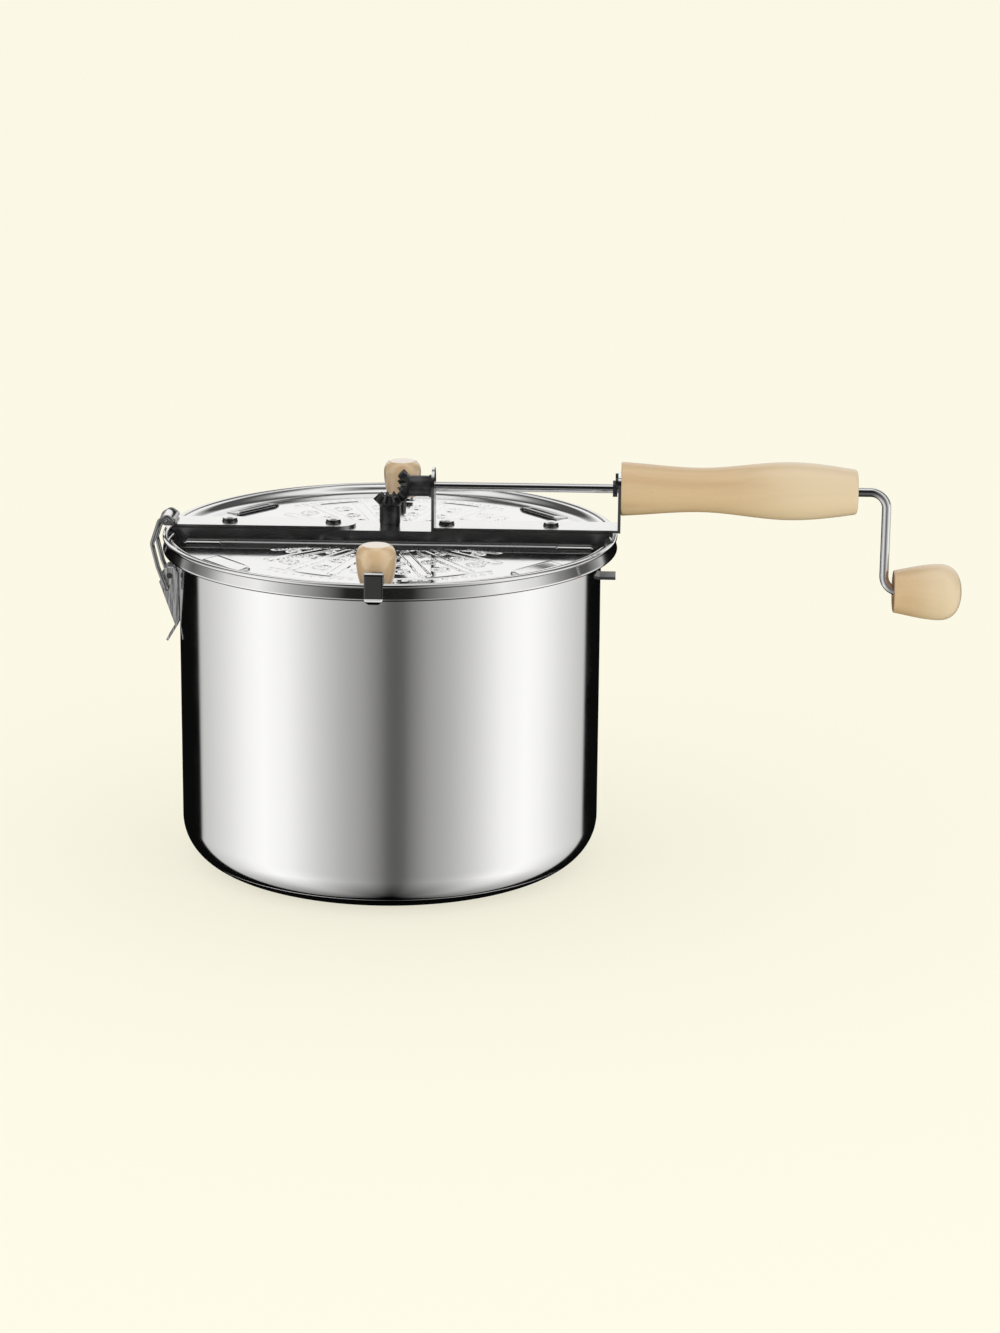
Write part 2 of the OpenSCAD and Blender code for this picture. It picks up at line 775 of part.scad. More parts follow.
module gear_washer() {
    x = drive_hub_back + seat_gap;
    color("gray") translate([0, 0, crank_z]) difference() {
        rod_x(x, near_x - free_gap - x, hub_r + pin_r / 2);
        rod_x(x - over, near_x - x + over, shaft_r + seat_gap);
    }
}

// Set collar on the rod, just left of the far upright
collar_gap = 0.4;
rod_collar_len = 2.4;
rod_collar_r = 4.3;

module rod_collar() {
    x = far_x - collar_gap - rod_collar_len;
    color("gray") translate([0, 0, crank_z]) difference() {
        rod_x(x, rod_collar_len, rod_collar_r);
        rod_x(x - over, rod_collar_len + 2 * over, shaft_r + seat_gap);
    }
}

// Turned outline of the crank knob, from its flat face to its domed end
crank_face_r = 11.1;
dome_len = 11.5;
// Power of the dome's outline: 2 is an ellipse, and more is flatter at the end
dome_power = 2.3;
face_slope = 0.18;
knob_knots = [[0, crank_face_r, face_slope], [crank_knob_len - dome_len, crank_knob_r, 0]];
// Counterbore that lets the rod's lower bend in
mouth_room = 1.5;
mouth_r = shaft_r + mouth_room;
mouth_len = bend_r - knob_gap + free_gap;
// Pocket for the retainer, and the wood left between its floor and the domed end
pocket_r = 4.4;
pocket_len = 2;
dome_left = 3.8;
pocket_x = knob_x + crank_knob_len - dome_left - pocket_len;
rod_end = pocket_x + pocket_len - free_gap;

module crank_knob() {
    bore_r = shaft_r + run_gap;
    dome_x = knob_x + crank_knob_len - dome_len;
    color("burlywood") translate([0, 0, -crank_arm]) on_crank() rotate_extrude() polygon(concat(
        [[bore_r, knob_x + mouth_len], [mouth_r, knob_x + mouth_len],
         [mouth_r, knob_x], [crank_face_r - edge_round, knob_x]],
        [for (i = [0 : arc_steps])
            let (x = edge_round + (crank_knob_len - dome_len - edge_round) * i / arc_steps)
            [curve_r(knob_knots, x), knob_x + x]],
        [for (i = [1 : arc_steps]) let (a = 90 * i / arc_steps, e = 2 / dome_power)
            [crank_knob_r * pow(cos(a), e), dome_x + dome_len * pow(sin(a), e)]],
        [[0, pocket_x + pocket_len], [pocket_r, pocket_x + pocket_len], [pocket_r, pocket_x],
         [bore_r, pocket_x]]
    ));
}

module knob_retainer() {
    x = pocket_x + free_gap;
    color("gray") translate([0, 0, crank_z - crank_arm]) difference() {
        rod_x(x, pocket_len - 2 * free_gap, pocket_r - free_gap);
        rod_x(x - over, pocket_len + 2 * over, shaft_r + seat_gap);
    }
}

// The stirring wire clears the floor by this much
floor_clear = 0.8;
wire_z = floor_z + floor_clear + wire_r;
shaft_foot = floor_z + free_gap;
shaft_top = crank_z - rod_tip;
wire_bend = 8;

module stir_shaft() {
    color("silver") difference() {
        translate([0, 0, shaft_foot]) cylinder(h = shaft_top - shaft_foot, r = shaft_r);
        translate([0, 0, wire_z]) rod_x(-shaft_r - over, 2 * shaft_r + 2 * over, wire_r + seat_gap);
        driven_pin_hole();
    }
}

module stir_wire() {
    run = stir_reach - wire_bend;
    color("silver") {
        translate([0, 0, wire_z]) rod_x(-run, 2 * run, wire_r);
        for (m = [0, 1]) mirror([m, 0, 0]) {
            translate([run, 0, wire_z + wire_bend]) rotate([90, 0, 0]) rotate([0, 0, -90])
                rotate_extrude(angle = 90) translate([wire_bend, 0]) circle(r = wire_r);
            translate([stir_reach, 0, wire_z + wire_bend])
                cylinder(h = stir_rise - wire_bend, r = wire_r);
            translate([stir_reach, 0, wire_z + stir_rise]) sphere(r = wire_r);
        }
    }
}

// Spring clip under the bush, which stops the shaft from lifting
clip_ring_t = 0.8;
clip_ring_r = 4.6;

module shaft_clip() {
    color("gray") translate([0, 0, bar_top - bush_low - free_gap - clip_ring_t]) difference() {
        cylinder(h = clip_ring_t, r = clip_ring_r);
        translate([0, 0, -over]) cylinder(h = clip_ring_t + 2 * over, r = shaft_r + seat_gap);
    }
}

// Keeps what lies beyond y from the bar's middle on side s
module beyond(s, y) {
    intersection() {
        children();
        translate([-collar_r, s > 0 ? y : -collar_r, flap_low - over])
            cube([2 * collar_r, collar_r - y, edge_h + 2 * over]);
    }
}

// The plate starts clear of the hinge pin, and is cut back further beside the bar's knuckles
plate_edge = hinge_y + hinge_pin_r + run_gap + free_gap;
edge_cut = hinge_y + knuckle_r + free_gap;

// One flap of the lid, on side s of the bar: plate, raised edge, hinge barrel, ribs and vents
module flap(s) {
    slope_foot = flap_r - flap_t - edge_slope;
    difference() {
        union() {
            difference() {
                beyond(s, plate_edge) translate([0, 0, flap_low])
                    cylinder(h = flap_t, r = slope_foot + flap_t / 2, $fn = 96);
                for (m = [-1, 1])
                    translate([m > 0 ? barrel_half : -flap_r, s > 0 ? 0 : -edge_cut, flap_low - over])
                        cube([flap_r - barrel_half, edge_cut, flap_t + 2 * over]);
            }
            beyond(s, edge_start) rotate_extrude($fn = 96) polygon([
                [slope_foot - edge_slope, flap_low], [slope_foot + flap_t, flap_low],
                [flap_r, flap_low + edge_h], [flap_r - flap_t, flap_low + edge_h],
                [slope_foot, flap_top], [slope_foot - edge_slope, flap_top]
            ]);
            translate([0, s * hinge_y, hinge_z]) rod_x(-barrel_half, 2 * barrel_half, barrel_r);
            flap_ribs(s);
            for (m = [-1, 1]) rotate(90 - s * 90 + m * vent_angle + (m < 0 ? 180 : 0)) vent_lip();
        }
        translate([0, s * hinge_y, hinge_z])
            rod_x(-barrel_half - over, 2 * barrel_half + 2 * over, hinge_pin_r + run_gap);
        for (m = [-1, 1]) rotate(90 - s * 90 + m * vent_angle + (m < 0 ? 180 : 0))
            translate([vent_r - vent_w / 2, -vent_len / 2, flap_low - over])
                cube([vent_w, vent_len, flap_t + 2 * over]);
        translate([0, s * knob_y, flap_low - over])
            cylinder(h = flap_t + 2 * over, r = knob_screw_r + seat_gap);
    }
}

// A low lip of sheet raised along the outer side of a vent slot
module vent_lip() {
    translate([vent_r + vent_w / 2, -vent_len / 2, flap_top - flap_t / 2])
        cube([vent_lip_t, vent_len, vent_lip_h + flap_t / 2]);
}

module flap_ribs(s) {
    for (m = [-1, 1], a = rib_angles) rotate(s * 90 + m * (90 - a)) {
        translate([rib_start, -rib_w / 2, flap_top - flap_t / 2])
            cube([rib_end - rib_start, rib_w, rib_h + flap_t / 2]);
        for (x = [rib_start, rib_end]) translate([x, 0, flap_top - flap_t / 2])
            cylinder(h = rib_h + flap_t / 2, r = rib_w / 2, $fn = 32);
    }
}

module front_lid() { color("gainsboro") flap(-1); }
module rear_lid() { color("gainsboro") flap(1); }

knob_low = flap_top + clip_t;
widest_at_share = 0.68;
foot_slope = 0.3;
top_slope = -1.2;
lid_knob_knots = [
    [0, knob_foot_r, foot_slope], [lid_knob_h * widest_at_share, lid_knob_r, 0],
    [lid_knob_h, knob_top_r, top_slope]
];
knob_bore = knob_screw_len - knob_screw_head_h - flap_t - clip_t;

module lid_knob(s) {
    color("burlywood") translate([0, s * knob_y, knob_low]) rotate_extrude() polygon(concat(
        [[knob_screw_r + seat_gap, 0]],
        [for (i = [0 : 2 * arc_steps]) let (z = lid_knob_h * i / (2 * arc_steps))
            [curve_r(lid_knob_knots, z), z]],
        [[0, lid_knob_h], [0, knob_bore + over], [knob_screw_r + seat_gap, knob_bore + over]]
    ));
}

module front_knob() { lid_knob(-1); }
module rear_knob() { lid_knob(1); }

module knob_screw(s) {
    color("gray") translate([0, s * knob_y, flap_low - knob_screw_head_h]) {
        cylinder(h = knob_screw_head_h, r = knob_screw_head_r);
        cylinder(h = knob_screw_len, r = knob_screw_r);
    }
}

module front_knob_screw() { knob_screw(-1); }
module rear_knob_screw() { knob_screw(1); }

// Side view of the spring clip: out from under the knob, up over the rim and down outside it
clip_y = collar_r + clip_out + clip_t / 2;
clip_z = flap_top + clip_t / 2;
clip_path = [
    [knob_y - clip_inner, clip_z],
    [knob_y + clip_inner, clip_z],
    [knob_y + clip_inner + 2 * clip_t, clip_z + 4 * clip_t],
    [collar_r - 4 * clip_t, pot_h + clip_rise - clip_t],
    [collar_r - 2 * clip_t, pot_h + clip_rise],
    [clip_y, pot_h + clip_rise - 2.5 * clip_t],
    [clip_y, pot_h + clip_rise - 2.5 * clip_t - clip_drop],
    [clip_y + clip_lip, pot_h + clip_rise - 2.5 * clip_t - clip_drop - 2 * clip_lip]
];

module spring_clip(s) {
    color("dimgray") difference() {
        rotate(s * 90) side_plate(clip_w) band(clip_path, clip_t);
        translate([0, s * knob_y, flap_top - over]) cylinder(h = clip_t + 2 * over, r = knob_screw_r + seat_gap);
    }
}

module front_clip() { spring_clip(-1); }
module rear_clip() { spring_clip(1); }

pot_shell();
base_core();
base_cap();
cross_bar();
hook_leg();
catch_strap();
gear_bracket();
strap_screws();
strap_nuts();
shaft_bush();
front_hinge_pin();
rear_hinge_pin();
handle_grip();
handle_screws();
latch_bracket();
latch_rivets();
lever_pin();
latch_lever();
latch_bail();
crank_rod();
drive_gear();
drive_gear_pin();
gear_washer();
rod_collar();
crank_knob();
knob_retainer();
stir_shaft();
stir_wire();
driven_gear();
driven_gear_pin();
shaft_clip();
front_lid();
front_knob();
front_knob_screw();
front_clip();
rear_lid();
rear_knob();
rear_knob_screw();
rear_clip();
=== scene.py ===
import math

import bmesh
import bpy
import numpy as np
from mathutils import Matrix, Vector


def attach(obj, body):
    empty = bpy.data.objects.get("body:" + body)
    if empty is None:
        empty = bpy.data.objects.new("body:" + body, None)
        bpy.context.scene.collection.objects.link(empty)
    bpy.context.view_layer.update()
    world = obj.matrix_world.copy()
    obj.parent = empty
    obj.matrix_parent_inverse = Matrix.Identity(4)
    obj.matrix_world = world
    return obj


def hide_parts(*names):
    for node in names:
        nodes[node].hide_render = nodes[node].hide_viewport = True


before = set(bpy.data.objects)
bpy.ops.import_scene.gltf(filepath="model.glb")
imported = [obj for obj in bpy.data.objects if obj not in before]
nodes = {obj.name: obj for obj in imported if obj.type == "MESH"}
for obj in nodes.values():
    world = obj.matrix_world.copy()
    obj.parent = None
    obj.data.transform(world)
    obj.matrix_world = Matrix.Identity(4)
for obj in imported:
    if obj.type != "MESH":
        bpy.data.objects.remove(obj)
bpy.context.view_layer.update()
scene = bpy.context.scene
scene.view_settings.view_transform = "Standard"


# Camera. It stands 1.8 m from the pot, a little to the right of its front, and looks 15 degrees
# down. The lens and the sideways shift put the pot where the photograph has it.
camera_azimuth = math.radians(3.912)
camera_elevation = math.radians(15.376)
camera_distance = 1.8
camera_target = Vector((0, 0, 0.10266))
image_width_px = 1000
image_height_px = 1333
focal_px = 3367.2
pot_axis_px = 390


def direction(azimuth, elevation):
    """Unit vector from the pot towards an azimuth and an elevation, both in radians."""
    return Vector((
        math.sin(azimuth) * math.cos(elevation),
        -math.cos(azimuth) * math.cos(elevation),
        math.sin(elevation),
    ))


camera_data = bpy.data.cameras.new("camera")
camera_data.sensor_width = 36
camera_data.lens = focal_px / image_height_px * camera_data.sensor_width
camera_data.shift_x = (image_width_px / 2 - pot_axis_px) / image_height_px
camera = bpy.data.objects.new("camera", camera_data)
camera.rotation_mode = "QUATERNION"
camera.location = camera_target + camera_distance * direction(camera_azimuth, camera_elevation)
camera.rotation_quaternion = (camera_target - camera.location).to_track_quat("-Z", "Y")
scene.collection.objects.link(camera)
scene.camera = camera


# Room. A wide cream floor under a pale sky, with one soft box on each side of the pot. Polished
# steel shows what stands round it, so its reflections see graded cards instead of the floor: dark
# behind the camera, brightest at the sides, and black beyond them.
floor_half = 14
floor_color = (0.99, 0.965, 0.835, 1)
floor_seen = (1, 0.965, 0.806, 1)
floor_seen_share = 0.6
sky_color = (1, 0.995, 0.975, 1)
sky_light = 0.93
box_size = 1.1
box_distance = 1.5
box_height = 0.33
box_power = 3
box_azimuths = (math.radians(-46), math.radians(42))
low_cards_turned = math.radians(3)
high_cards_turned = math.radians(-5.5)
# Each card's place in degrees from the camera's side, to the left and the right, and its shade
low_cards = [
    (0, 0.10), (4, 0.115), (10, 0.215), (18, 0.33), (30, 0.45), (42, 0.61), (52, 0.77),
    (61, 0.91), (76, 1.0), (88, 0.92), (104, 0.74), (120, 0.6), (129, 0.53), (132.5, 0.003),
    (180, 0.003),
]
high_cards = [
    (0, 0.008), (17, 0.015), (31, 0.25), (45, 0.5), (64, 1.0), (84, 0.8), (98, 0.3), (112, 0.09),
    (132, 0.07), (150, 1.0), (180, 1.0),
]
back_card_start = (math.radians(132), math.radians(150))
back_card_fade = (math.radians(44), math.radians(52))
back_card_high = 0.08
low_card_strength = 1.16
low_card_fade = (math.radians(-40), math.radians(-88))
high_card_fade = (math.radians(62), math.radians(74))
horizon_blend = 0.05


def add_node(tree, kind, **settings):
    """A shader node of that kind in a node tree, with its settings."""
    made = tree.nodes.new("ShaderNode" + kind)
    for name, value in settings.items():
        setattr(made, name, value)
    return made


def new_material(name, **inputs):
    """A material and its principled shader. An input's name is written with _ for a space."""
    material = bpy.data.materials.new(name)
    material.use_nodes = True
    shader = material.node_tree.nodes["Principled BSDF"]
    for key, value in inputs.items():
        shader.inputs[key.replace("_", " ")].default_value = value
    return material, shader


def new_piece(name, points, faces, material, sharp_angle=math.radians(35)):
    """A mesh object in the row frame, with smooth faces but for its sharp corners."""
    mesh = bpy.data.meshes.new(name)
    mesh.from_pydata([tuple(p) for p in points], [], faces)
    tidy = bmesh.new()
    tidy.from_mesh(mesh)
    bmesh.ops.remove_doubles(tidy, verts=tidy.verts, dist=1e-6)
    bmesh.ops.recalc_face_normals(tidy, faces=tidy.faces)
    tidy.to_mesh(mesh)
    tidy.free()
    mesh.shade_smooth()
    mesh.set_sharp_from_angle(angle=sharp_angle)
    mesh.materials.append(material)
    piece = bpy.data.objects.new(name, mesh)
    scene.collection.objects.link(piece)
    return piece


floor_material, floor_shader = new_material("floor_paint", Base_Color=floor_color, Roughness=0.9)
floor_shader.inputs["Specular IOR Level"].default_value = 0
floor = new_piece(
    "floor",
    [(-floor_half, -floor_half, 0), (floor_half, -floor_half, 0),
     (floor_half, floor_half, 0), (-floor_half, floor_half, 0)],
    [(0, 1, 2, 3)],
    floor_material,
)
floor.visible_glossy = False


def linked(tree, kind, sources, **settings):
    """A node with its first inputs linked to sockets or set to numbers. Gives its output."""
    made = add_node(tree, kind, **settings)
    for number, source in enumerate(sources):
        if isinstance(source, bpy.types.NodeSocket):
            tree.links.new(source, made.inputs[number])
        else:
            made.inputs[number].default_value = source
    return made.outputs[0]


def shade_ramp(tree, share, stops, full):
    """A ramp of grey shades, with the stops' places given as parts of full."""
    ramp = add_node(tree, "ValToRGB")
    tree.links.new(share, ramp.inputs["Fac"])
    elements = ramp.color_ramp.elements
    for number, (place, shade) in enumerate(stops):
        element = elements[number] if number < 2 else elements.new(place / full)
        element.position = place / full
        element.color = (shade, shade, shade, 1)
    return ramp.outputs["Color"]


floor_tree = floor_material.node_tree
floor_glow = add_node(floor_tree, "Emission")
floor_glow.inputs["Color"].default_value = floor_seen
floor_path = add_node(floor_tree, "LightPath")
floor_share = linked(
    floor_tree, "Math", [floor_path.outputs["Is Camera Ray"], floor_seen_share],
    operation="MULTIPLY",
)
floor_look = linked(
    floor_tree, "MixShader", [floor_share, floor_shader.outputs[0], floor_glow.outputs[0]]
)
floor_tree.links.new(floor_look, floor_tree.nodes["Material Output"].inputs["Surface"])

sky = bpy.data.worlds.new("sky")
scene.world = sky
sky.use_nodes = True
sky_tree = sky.node_tree
sky_place = add_node(sky_tree, "TexCoord")


def card_angle(turned):
    """How far a direction is turned from the middle of the cards, to the left or the right."""
    turn = add_node(sky_tree, "VectorRotate", rotation_type="Z_AXIS")
    turn.inputs["Angle"].default_value = -(camera_azimuth + turned)
    sky_tree.links.new(sky_place.outputs["Generated"], turn.inputs["Vector"])
    split = add_node(sky_tree, "SeparateXYZ")
    sky_tree.links.new(turn.outputs[0], split.inputs[0])
    front = linked(sky_tree, "Math", [split.outputs["Y"], -1.0], operation="MULTIPLY")
    side = linked(sky_tree, "Math", [split.outputs["X"]], operation="ABSOLUTE")
    return linked(sky_tree, "Math", [side, front], operation="ARCTAN2")


low_angle = card_angle(low_cards_turned)
high_angle = card_angle(high_cards_turned)
low_share = linked(sky_tree, "Math", [low_angle, math.pi], operation="DIVIDE")
high_share = linked(sky_tree, "Math", [high_angle, math.pi], operation="DIVIDE")
sky_split = add_node(sky_tree, "SeparateXYZ")
sky_tree.links.new(sky_place.outputs["Generated"], sky_split.inputs[0])
sky_rise = linked(sky_tree, "Math", [sky_split.outputs["Z"]], operation="ARCSINE")
low_shade = shade_ramp(sky_tree, low_share, low_cards, 180)
high_shade = shade_ramp(sky_tree, high_share, high_cards, 180)
low_fade = linked(
    sky_tree, "MapRange", [sky_rise, low_card_fade[0], low_card_fade[1], low_card_strength, 0.0]
)
high_fade = linked(
    sky_tree, "MapRange", [sky_rise, high_card_fade[0], high_card_fade[1], 0.0, 1.0]
)
back_fade = linked(
    sky_tree, "MapRange", [sky_rise, back_card_fade[0], back_card_fade[1], 1.0, back_card_high]
)
back_share = linked(
    sky_tree, "MapRange", [high_angle, back_card_start[0], back_card_start[1], 1.0, back_fade]
)
high_dimmed = linked(sky_tree, "Math", [high_shade, back_share], operation="MULTIPLY")
high_lifted = linked(sky_tree, "Math", [high_dimmed, high_fade], operation="MAXIMUM")
low_dimmed = linked(sky_tree, "Math", [low_shade, low_fade], operation="MULTIPLY")
sky_shade = linked(
    sky_tree, "MapRange", [sky_rise, -horizon_blend, horizon_blend, low_dimmed, high_lifted]
)
cards_shader = add_node(sky_tree, "Background")
cards_shader.inputs["Color"].default_value = sky_color
sky_tree.links.new(sky_shade, cards_shader.inputs["Strength"])
light_shader = sky_tree.nodes["Background"]
light_shader.inputs["Color"].default_value = sky_color
light_shader.inputs["Strength"].default_value = sky_light
seen_shader = add_node(sky_tree, "Background")
seen_shader.inputs["Color"].default_value = floor_seen
sky_path = add_node(sky_tree, "LightPath")
sky_straight = linked(
    sky_tree, "Math",
    [sky_path.outputs["Is Camera Ray"], sky_path.outputs["Is Transmission Ray"]],
    operation="MAXIMUM",
)
sky_cards = linked(
    sky_tree, "MixShader",
    [sky_path.outputs["Is Glossy Ray"], light_shader.outputs[0], cards_shader.outputs[0]],
)
sky_all = linked(sky_tree, "MixShader", [sky_straight, sky_cards, seen_shader.outputs[0]])
sky_tree.links.new(sky_all, sky_tree.nodes["World Output"].inputs["Surface"])

for side, azimuth in zip(("left", "right"), box_azimuths):
    soft_box_data = bpy.data.lights.new("soft_box_" + side, "AREA")
    soft_box_data.size = box_size
    soft_box_data.energy = box_power
    soft_box = bpy.data.objects.new("soft_box_" + side, soft_box_data)
    soft_box.location = box_distance * direction(azimuth, 0) + Vector((0, 0, box_height))
    aim = camera_target - soft_box.location
    soft_box.rotation_mode = "QUATERNION"
    soft_box.rotation_quaternion = aim.to_track_quat("-Z", "Y")
    soft_box.visible_glossy = False
    scene.collection.objects.link(soft_box)


# Pot shell. One blank of stainless steel, spun to a straight wall with a rounded bottom corner, a
# collar stepped out round the mouth and a rolled bead on its rim, then polished to a mirror.
pot_radius = 0.1116
pot_height = 0.1775
pot_sheet = 0.0012
collar_radius = 0.120
collar_height = 0.010
flare_height = 0.0022
corner_radius = 0.023
bead_radius = 0.0013
bead_stand = 0.0015
band_steps = 8
bead_start = -70
bead_end = 232
cap_thickness = 0.001
base_top = 0.006
fit_gap = 0.00005
cap_edge_angle = -42
blend_angle = 12
tongue_low = 0.1539
tongue_slot_reach = (0.106, 0.1194)
tongue_slot_width = 0.014
tongue_slot_height = 0.002
turning_steps = 256
pot_shade = 0.835
# Painted shade under the collar: how dark, which facing gets it, and the height it starts at
painted_underside_shade = 0.06
underside_facing = (-0.7, -0.1)
underside_rise = (0.16, 0.165)
smudge_range = (0.35, 0.75)
box_faces = [(0, 1, 3, 2), (4, 6, 7, 5), (0, 4, 5, 1), (2, 3, 7, 6), (0, 2, 6, 4), (1, 5, 7, 3)]


def arc(centre, radius, start, end, steps=12):
    """Points of an arc about a centre, from one angle to another in degrees."""
    return [
        (centre[0] + radius * math.cos(math.radians(start + (end - start) * i / steps)),
         centre[1] + radius * math.sin(math.radians(start + (end - start) * i / steps)))
        for i in range(steps + 1)
    ]


def turned(name, outline, material, steps=192, along="Z", centre=(0, 0, 0)):
    """A closed outline of (radius, place along the axis) turned into a solid of revolution."""
    count = len(outline)
    points = []
    faces = []
    for i in range(steps):
        turn = 2 * math.pi * i / steps
        for r, h in outline:
            across, up = r * math.cos(turn), r * math.sin(turn)
            place = (across, up, h) if along == "Z" else (h, across, up)
            points.append([a + b for a, b in zip(place, centre)])
        j = (i + 1) % steps
        for k in range(count):
            m = (k + 1) % count
            faces.append((i * count + k, j * count + k, j * count + m, i * count + m))
    return new_piece(name, points, faces, material)


def group_of(name, inputs, outputs):
    """An empty shader node group, and its input and output nodes."""
    tree = bpy.data.node_groups.new(name, "ShaderNodeTree")
    for label, kind, value in inputs:
        socket = tree.interface.new_socket(label, in_out="INPUT", socket_type="NodeSocket" + kind)
        if value is not None:
            socket.default_value = value
    for label, kind in outputs:
        tree.interface.new_socket(label, in_out="OUTPUT", socket_type="NodeSocket" + kind)
    return tree, tree.nodes.new("NodeGroupInput"), tree.nodes.new("NodeGroupOutput")


# Fine lines that a polishing mop leaves: streaks along one way, and soft smudges over them
polish_tree, polish_in, polish_out = group_of(
    "polish_lines",
    [("Vector", "Vector", None), ("Streaks", "Vector", None), ("Smudge Scale", "Float", 30.0)],
    [("Lines", "Float"), ("Smudges", "Float")],
)
polish_stretch = add_node(polish_tree, "VectorMath", operation="MULTIPLY")
polish_tree.links.new(polish_in.outputs["Vector"], polish_stretch.inputs[0])
polish_tree.links.new(polish_in.outputs["Streaks"], polish_stretch.inputs[1])
polish_noise = add_node(polish_tree, "TexNoise")
polish_noise.inputs["Scale"].default_value = 1
polish_noise.inputs["Detail"].default_value = 3
polish_tree.links.new(polish_stretch.outputs[0], polish_noise.inputs["Vector"])
polish_place = add_node(polish_tree, "TexCoord")
smudge_noise = add_node(polish_tree, "TexNoise")
smudge_noise.inputs["Detail"].default_value = 4
smudge_noise.inputs["Roughness"].default_value = 0.65
polish_tree.links.new(polish_place.outputs["Object"], smudge_noise.inputs["Vector"])
polish_tree.links.new(polish_in.outputs["Smudge Scale"], smudge_noise.inputs["Scale"])
polish_tree.links.new(polish_noise.outputs["Fac"], polish_out.inputs["Lines"])
polish_tree.links.new(smudge_noise.outputs["Fac"], polish_out.inputs["Smudges"])


def steel(name, color, roughness, spread, streaks, depth, round_axis=False):
    """Steel with polishing lines. Streaks stretches the lines, in metres to the minus one, and
    depth is how deep they look. Round the pot's axis, X counts the turn and Y the radius."""
    material, shader = new_material(name, Base_Color=color + (1,), Metallic=1.0)
    tree = material.node_tree
    place = add_node(tree, "TexCoord").outputs["Object"]
    if round_axis:
        split = add_node(tree, "SeparateXYZ")
        tree.links.new(place, split.inputs[0])
        turn = add_node(tree, "Math", operation="ARCTAN2")
        tree.links.new(split.outputs["Y"], turn.inputs[0])
        tree.links.new(split.outputs["X"], turn.inputs[1])
        flat = add_node(tree, "CombineXYZ")
        tree.links.new(split.outputs["X"], flat.inputs["X"])
        tree.links.new(split.outputs["Y"], flat.inputs["Y"])
        radius = add_node(tree, "VectorMath", operation="LENGTH")
        tree.links.new(flat.outputs[0], radius.inputs[0])
        joined = add_node(tree, "CombineXYZ")
        tree.links.new(turn.outputs[0], joined.inputs["X"])
        tree.links.new(radius.outputs["Value"], joined.inputs["Y"])
        tree.links.new(split.outputs["Z"], joined.inputs["Z"])
        place = joined.outputs[0]
    lines = add_node(tree, "Group", node_tree=polish_tree)
    lines.inputs["Streaks"].default_value = streaks
    tree.links.new(place, lines.inputs["Vector"])
    dull = add_node(tree, "MapRange")
    dull.inputs["From Min"].default_value = smudge_range[0]
    dull.inputs["From Max"].default_value = smudge_range[1]
    dull.inputs["To Min"].default_value = roughness
    dull.inputs["To Max"].default_value = roughness + spread
    tree.links.new(lines.outputs["Smudges"], dull.inputs["Value"])
    tree.links.new(dull.outputs[0], shader.inputs["Roughness"])
    bump = add_node(tree, "Bump")
    bump.inputs["Strength"].default_value = 1
    bump.inputs["Distance"].default_value = depth
    tree.links.new(lines.outputs["Lines"], bump.inputs["Height"])
    tree.links.new(bump.outputs[0], shader.inputs["Normal"])
    return material


pot_steel = steel(
    "pot_steel", color=(0.83, 0.83, 0.84), roughness=0.075, spread=0.04,
    streaks=(6, 900, 900), depth=0.0000012, round_axis=True,
)
# Painted shade: faces turned down under the collar, high on the pot, are painted dark in the base
# colour
pot_tree = pot_steel.node_tree
pot_facing = add_node(pot_tree, "TexCoord")
pot_normal = add_node(pot_tree, "SeparateXYZ")
pot_tree.links.new(pot_facing.outputs["Normal"], pot_normal.inputs[0])
pot_place = add_node(pot_tree, "SeparateXYZ")
pot_tree.links.new(pot_facing.outputs["Object"], pot_place.inputs[0])
pot_painted_underside = linked(
    pot_tree, "MapRange", [pot_normal.outputs["Z"], *underside_facing, painted_underside_shade, pot_shade]
)
pot_color = linked(
    pot_tree, "MapRange", [pot_place.outputs["Z"], *underside_rise, pot_shade, pot_painted_underside]
)
pot_tree.links.new(pot_color, pot_tree.nodes["Principled BSDF"].inputs["Base Color"])
corner_centre = (pot_radius - corner_radius, corner_radius)
step_radius = corner_radius - cap_thickness - fit_gap
inner_radius = step_radius - pot_sheet
floor_top = base_top + pot_sheet
flat_angle = -math.degrees(math.asin((corner_radius - base_top) / step_radius))
inner_flat_angle = -math.degrees(math.asin((corner_radius - floor_top) / inner_radius))


def flare(inset, steps=14):
    """The collar's underside, shifted in and up by the sheet's thickness on the inside."""
    low = pot_height - collar_height
    width = collar_radius - pot_radius
    return [
        (pot_radius - inset + width * math.sin(math.pi / 2 * i / steps),
         low + inset + flare_height * (1 - math.cos(math.pi / 2 * i / steps)))
        for i in range(steps + 1)
    ]


bead_centre = (collar_radius - bead_radius, pot_height - bead_radius)
band_foot = pot_height - collar_height + flare_height
band_rise = bead_centre[1] - bead_radius - band_foot
collar_band = [
    (collar_radius - bead_stand * i / band_steps, band_foot + band_rise * i / band_steps)
    for i in range(1, band_steps + 1)
]
shell_outline = (
    [(0, base_top)]
    + arc(corner_centre, step_radius, flat_angle, cap_edge_angle)
    + arc(corner_centre, corner_radius, cap_edge_angle, 0, 24)
    + flare(0)
    + collar_band
    + arc(bead_centre, bead_radius, bead_start, bead_end, 24)
    + flare(pot_sheet)[::-1]
    + arc(corner_centre, corner_radius - pot_sheet, 0, cap_edge_angle + blend_angle, 16)
    + arc(corner_centre, inner_radius, cap_edge_angle + blend_angle / 3, inner_flat_angle, 8)
    + [(0, floor_top)]
)
pot_shell = turned("spun_pot", shell_outline, pot_steel, steps=turning_steps)
cutter = new_piece(
    "slot_cutter",
    [(x, y, z) for x in tongue_slot_reach
     for y in (-tongue_slot_width / 2, tongue_slot_width / 2)
     for z in (tongue_low, tongue_low + tongue_slot_height)],
    box_faces,
    pot_steel,
)


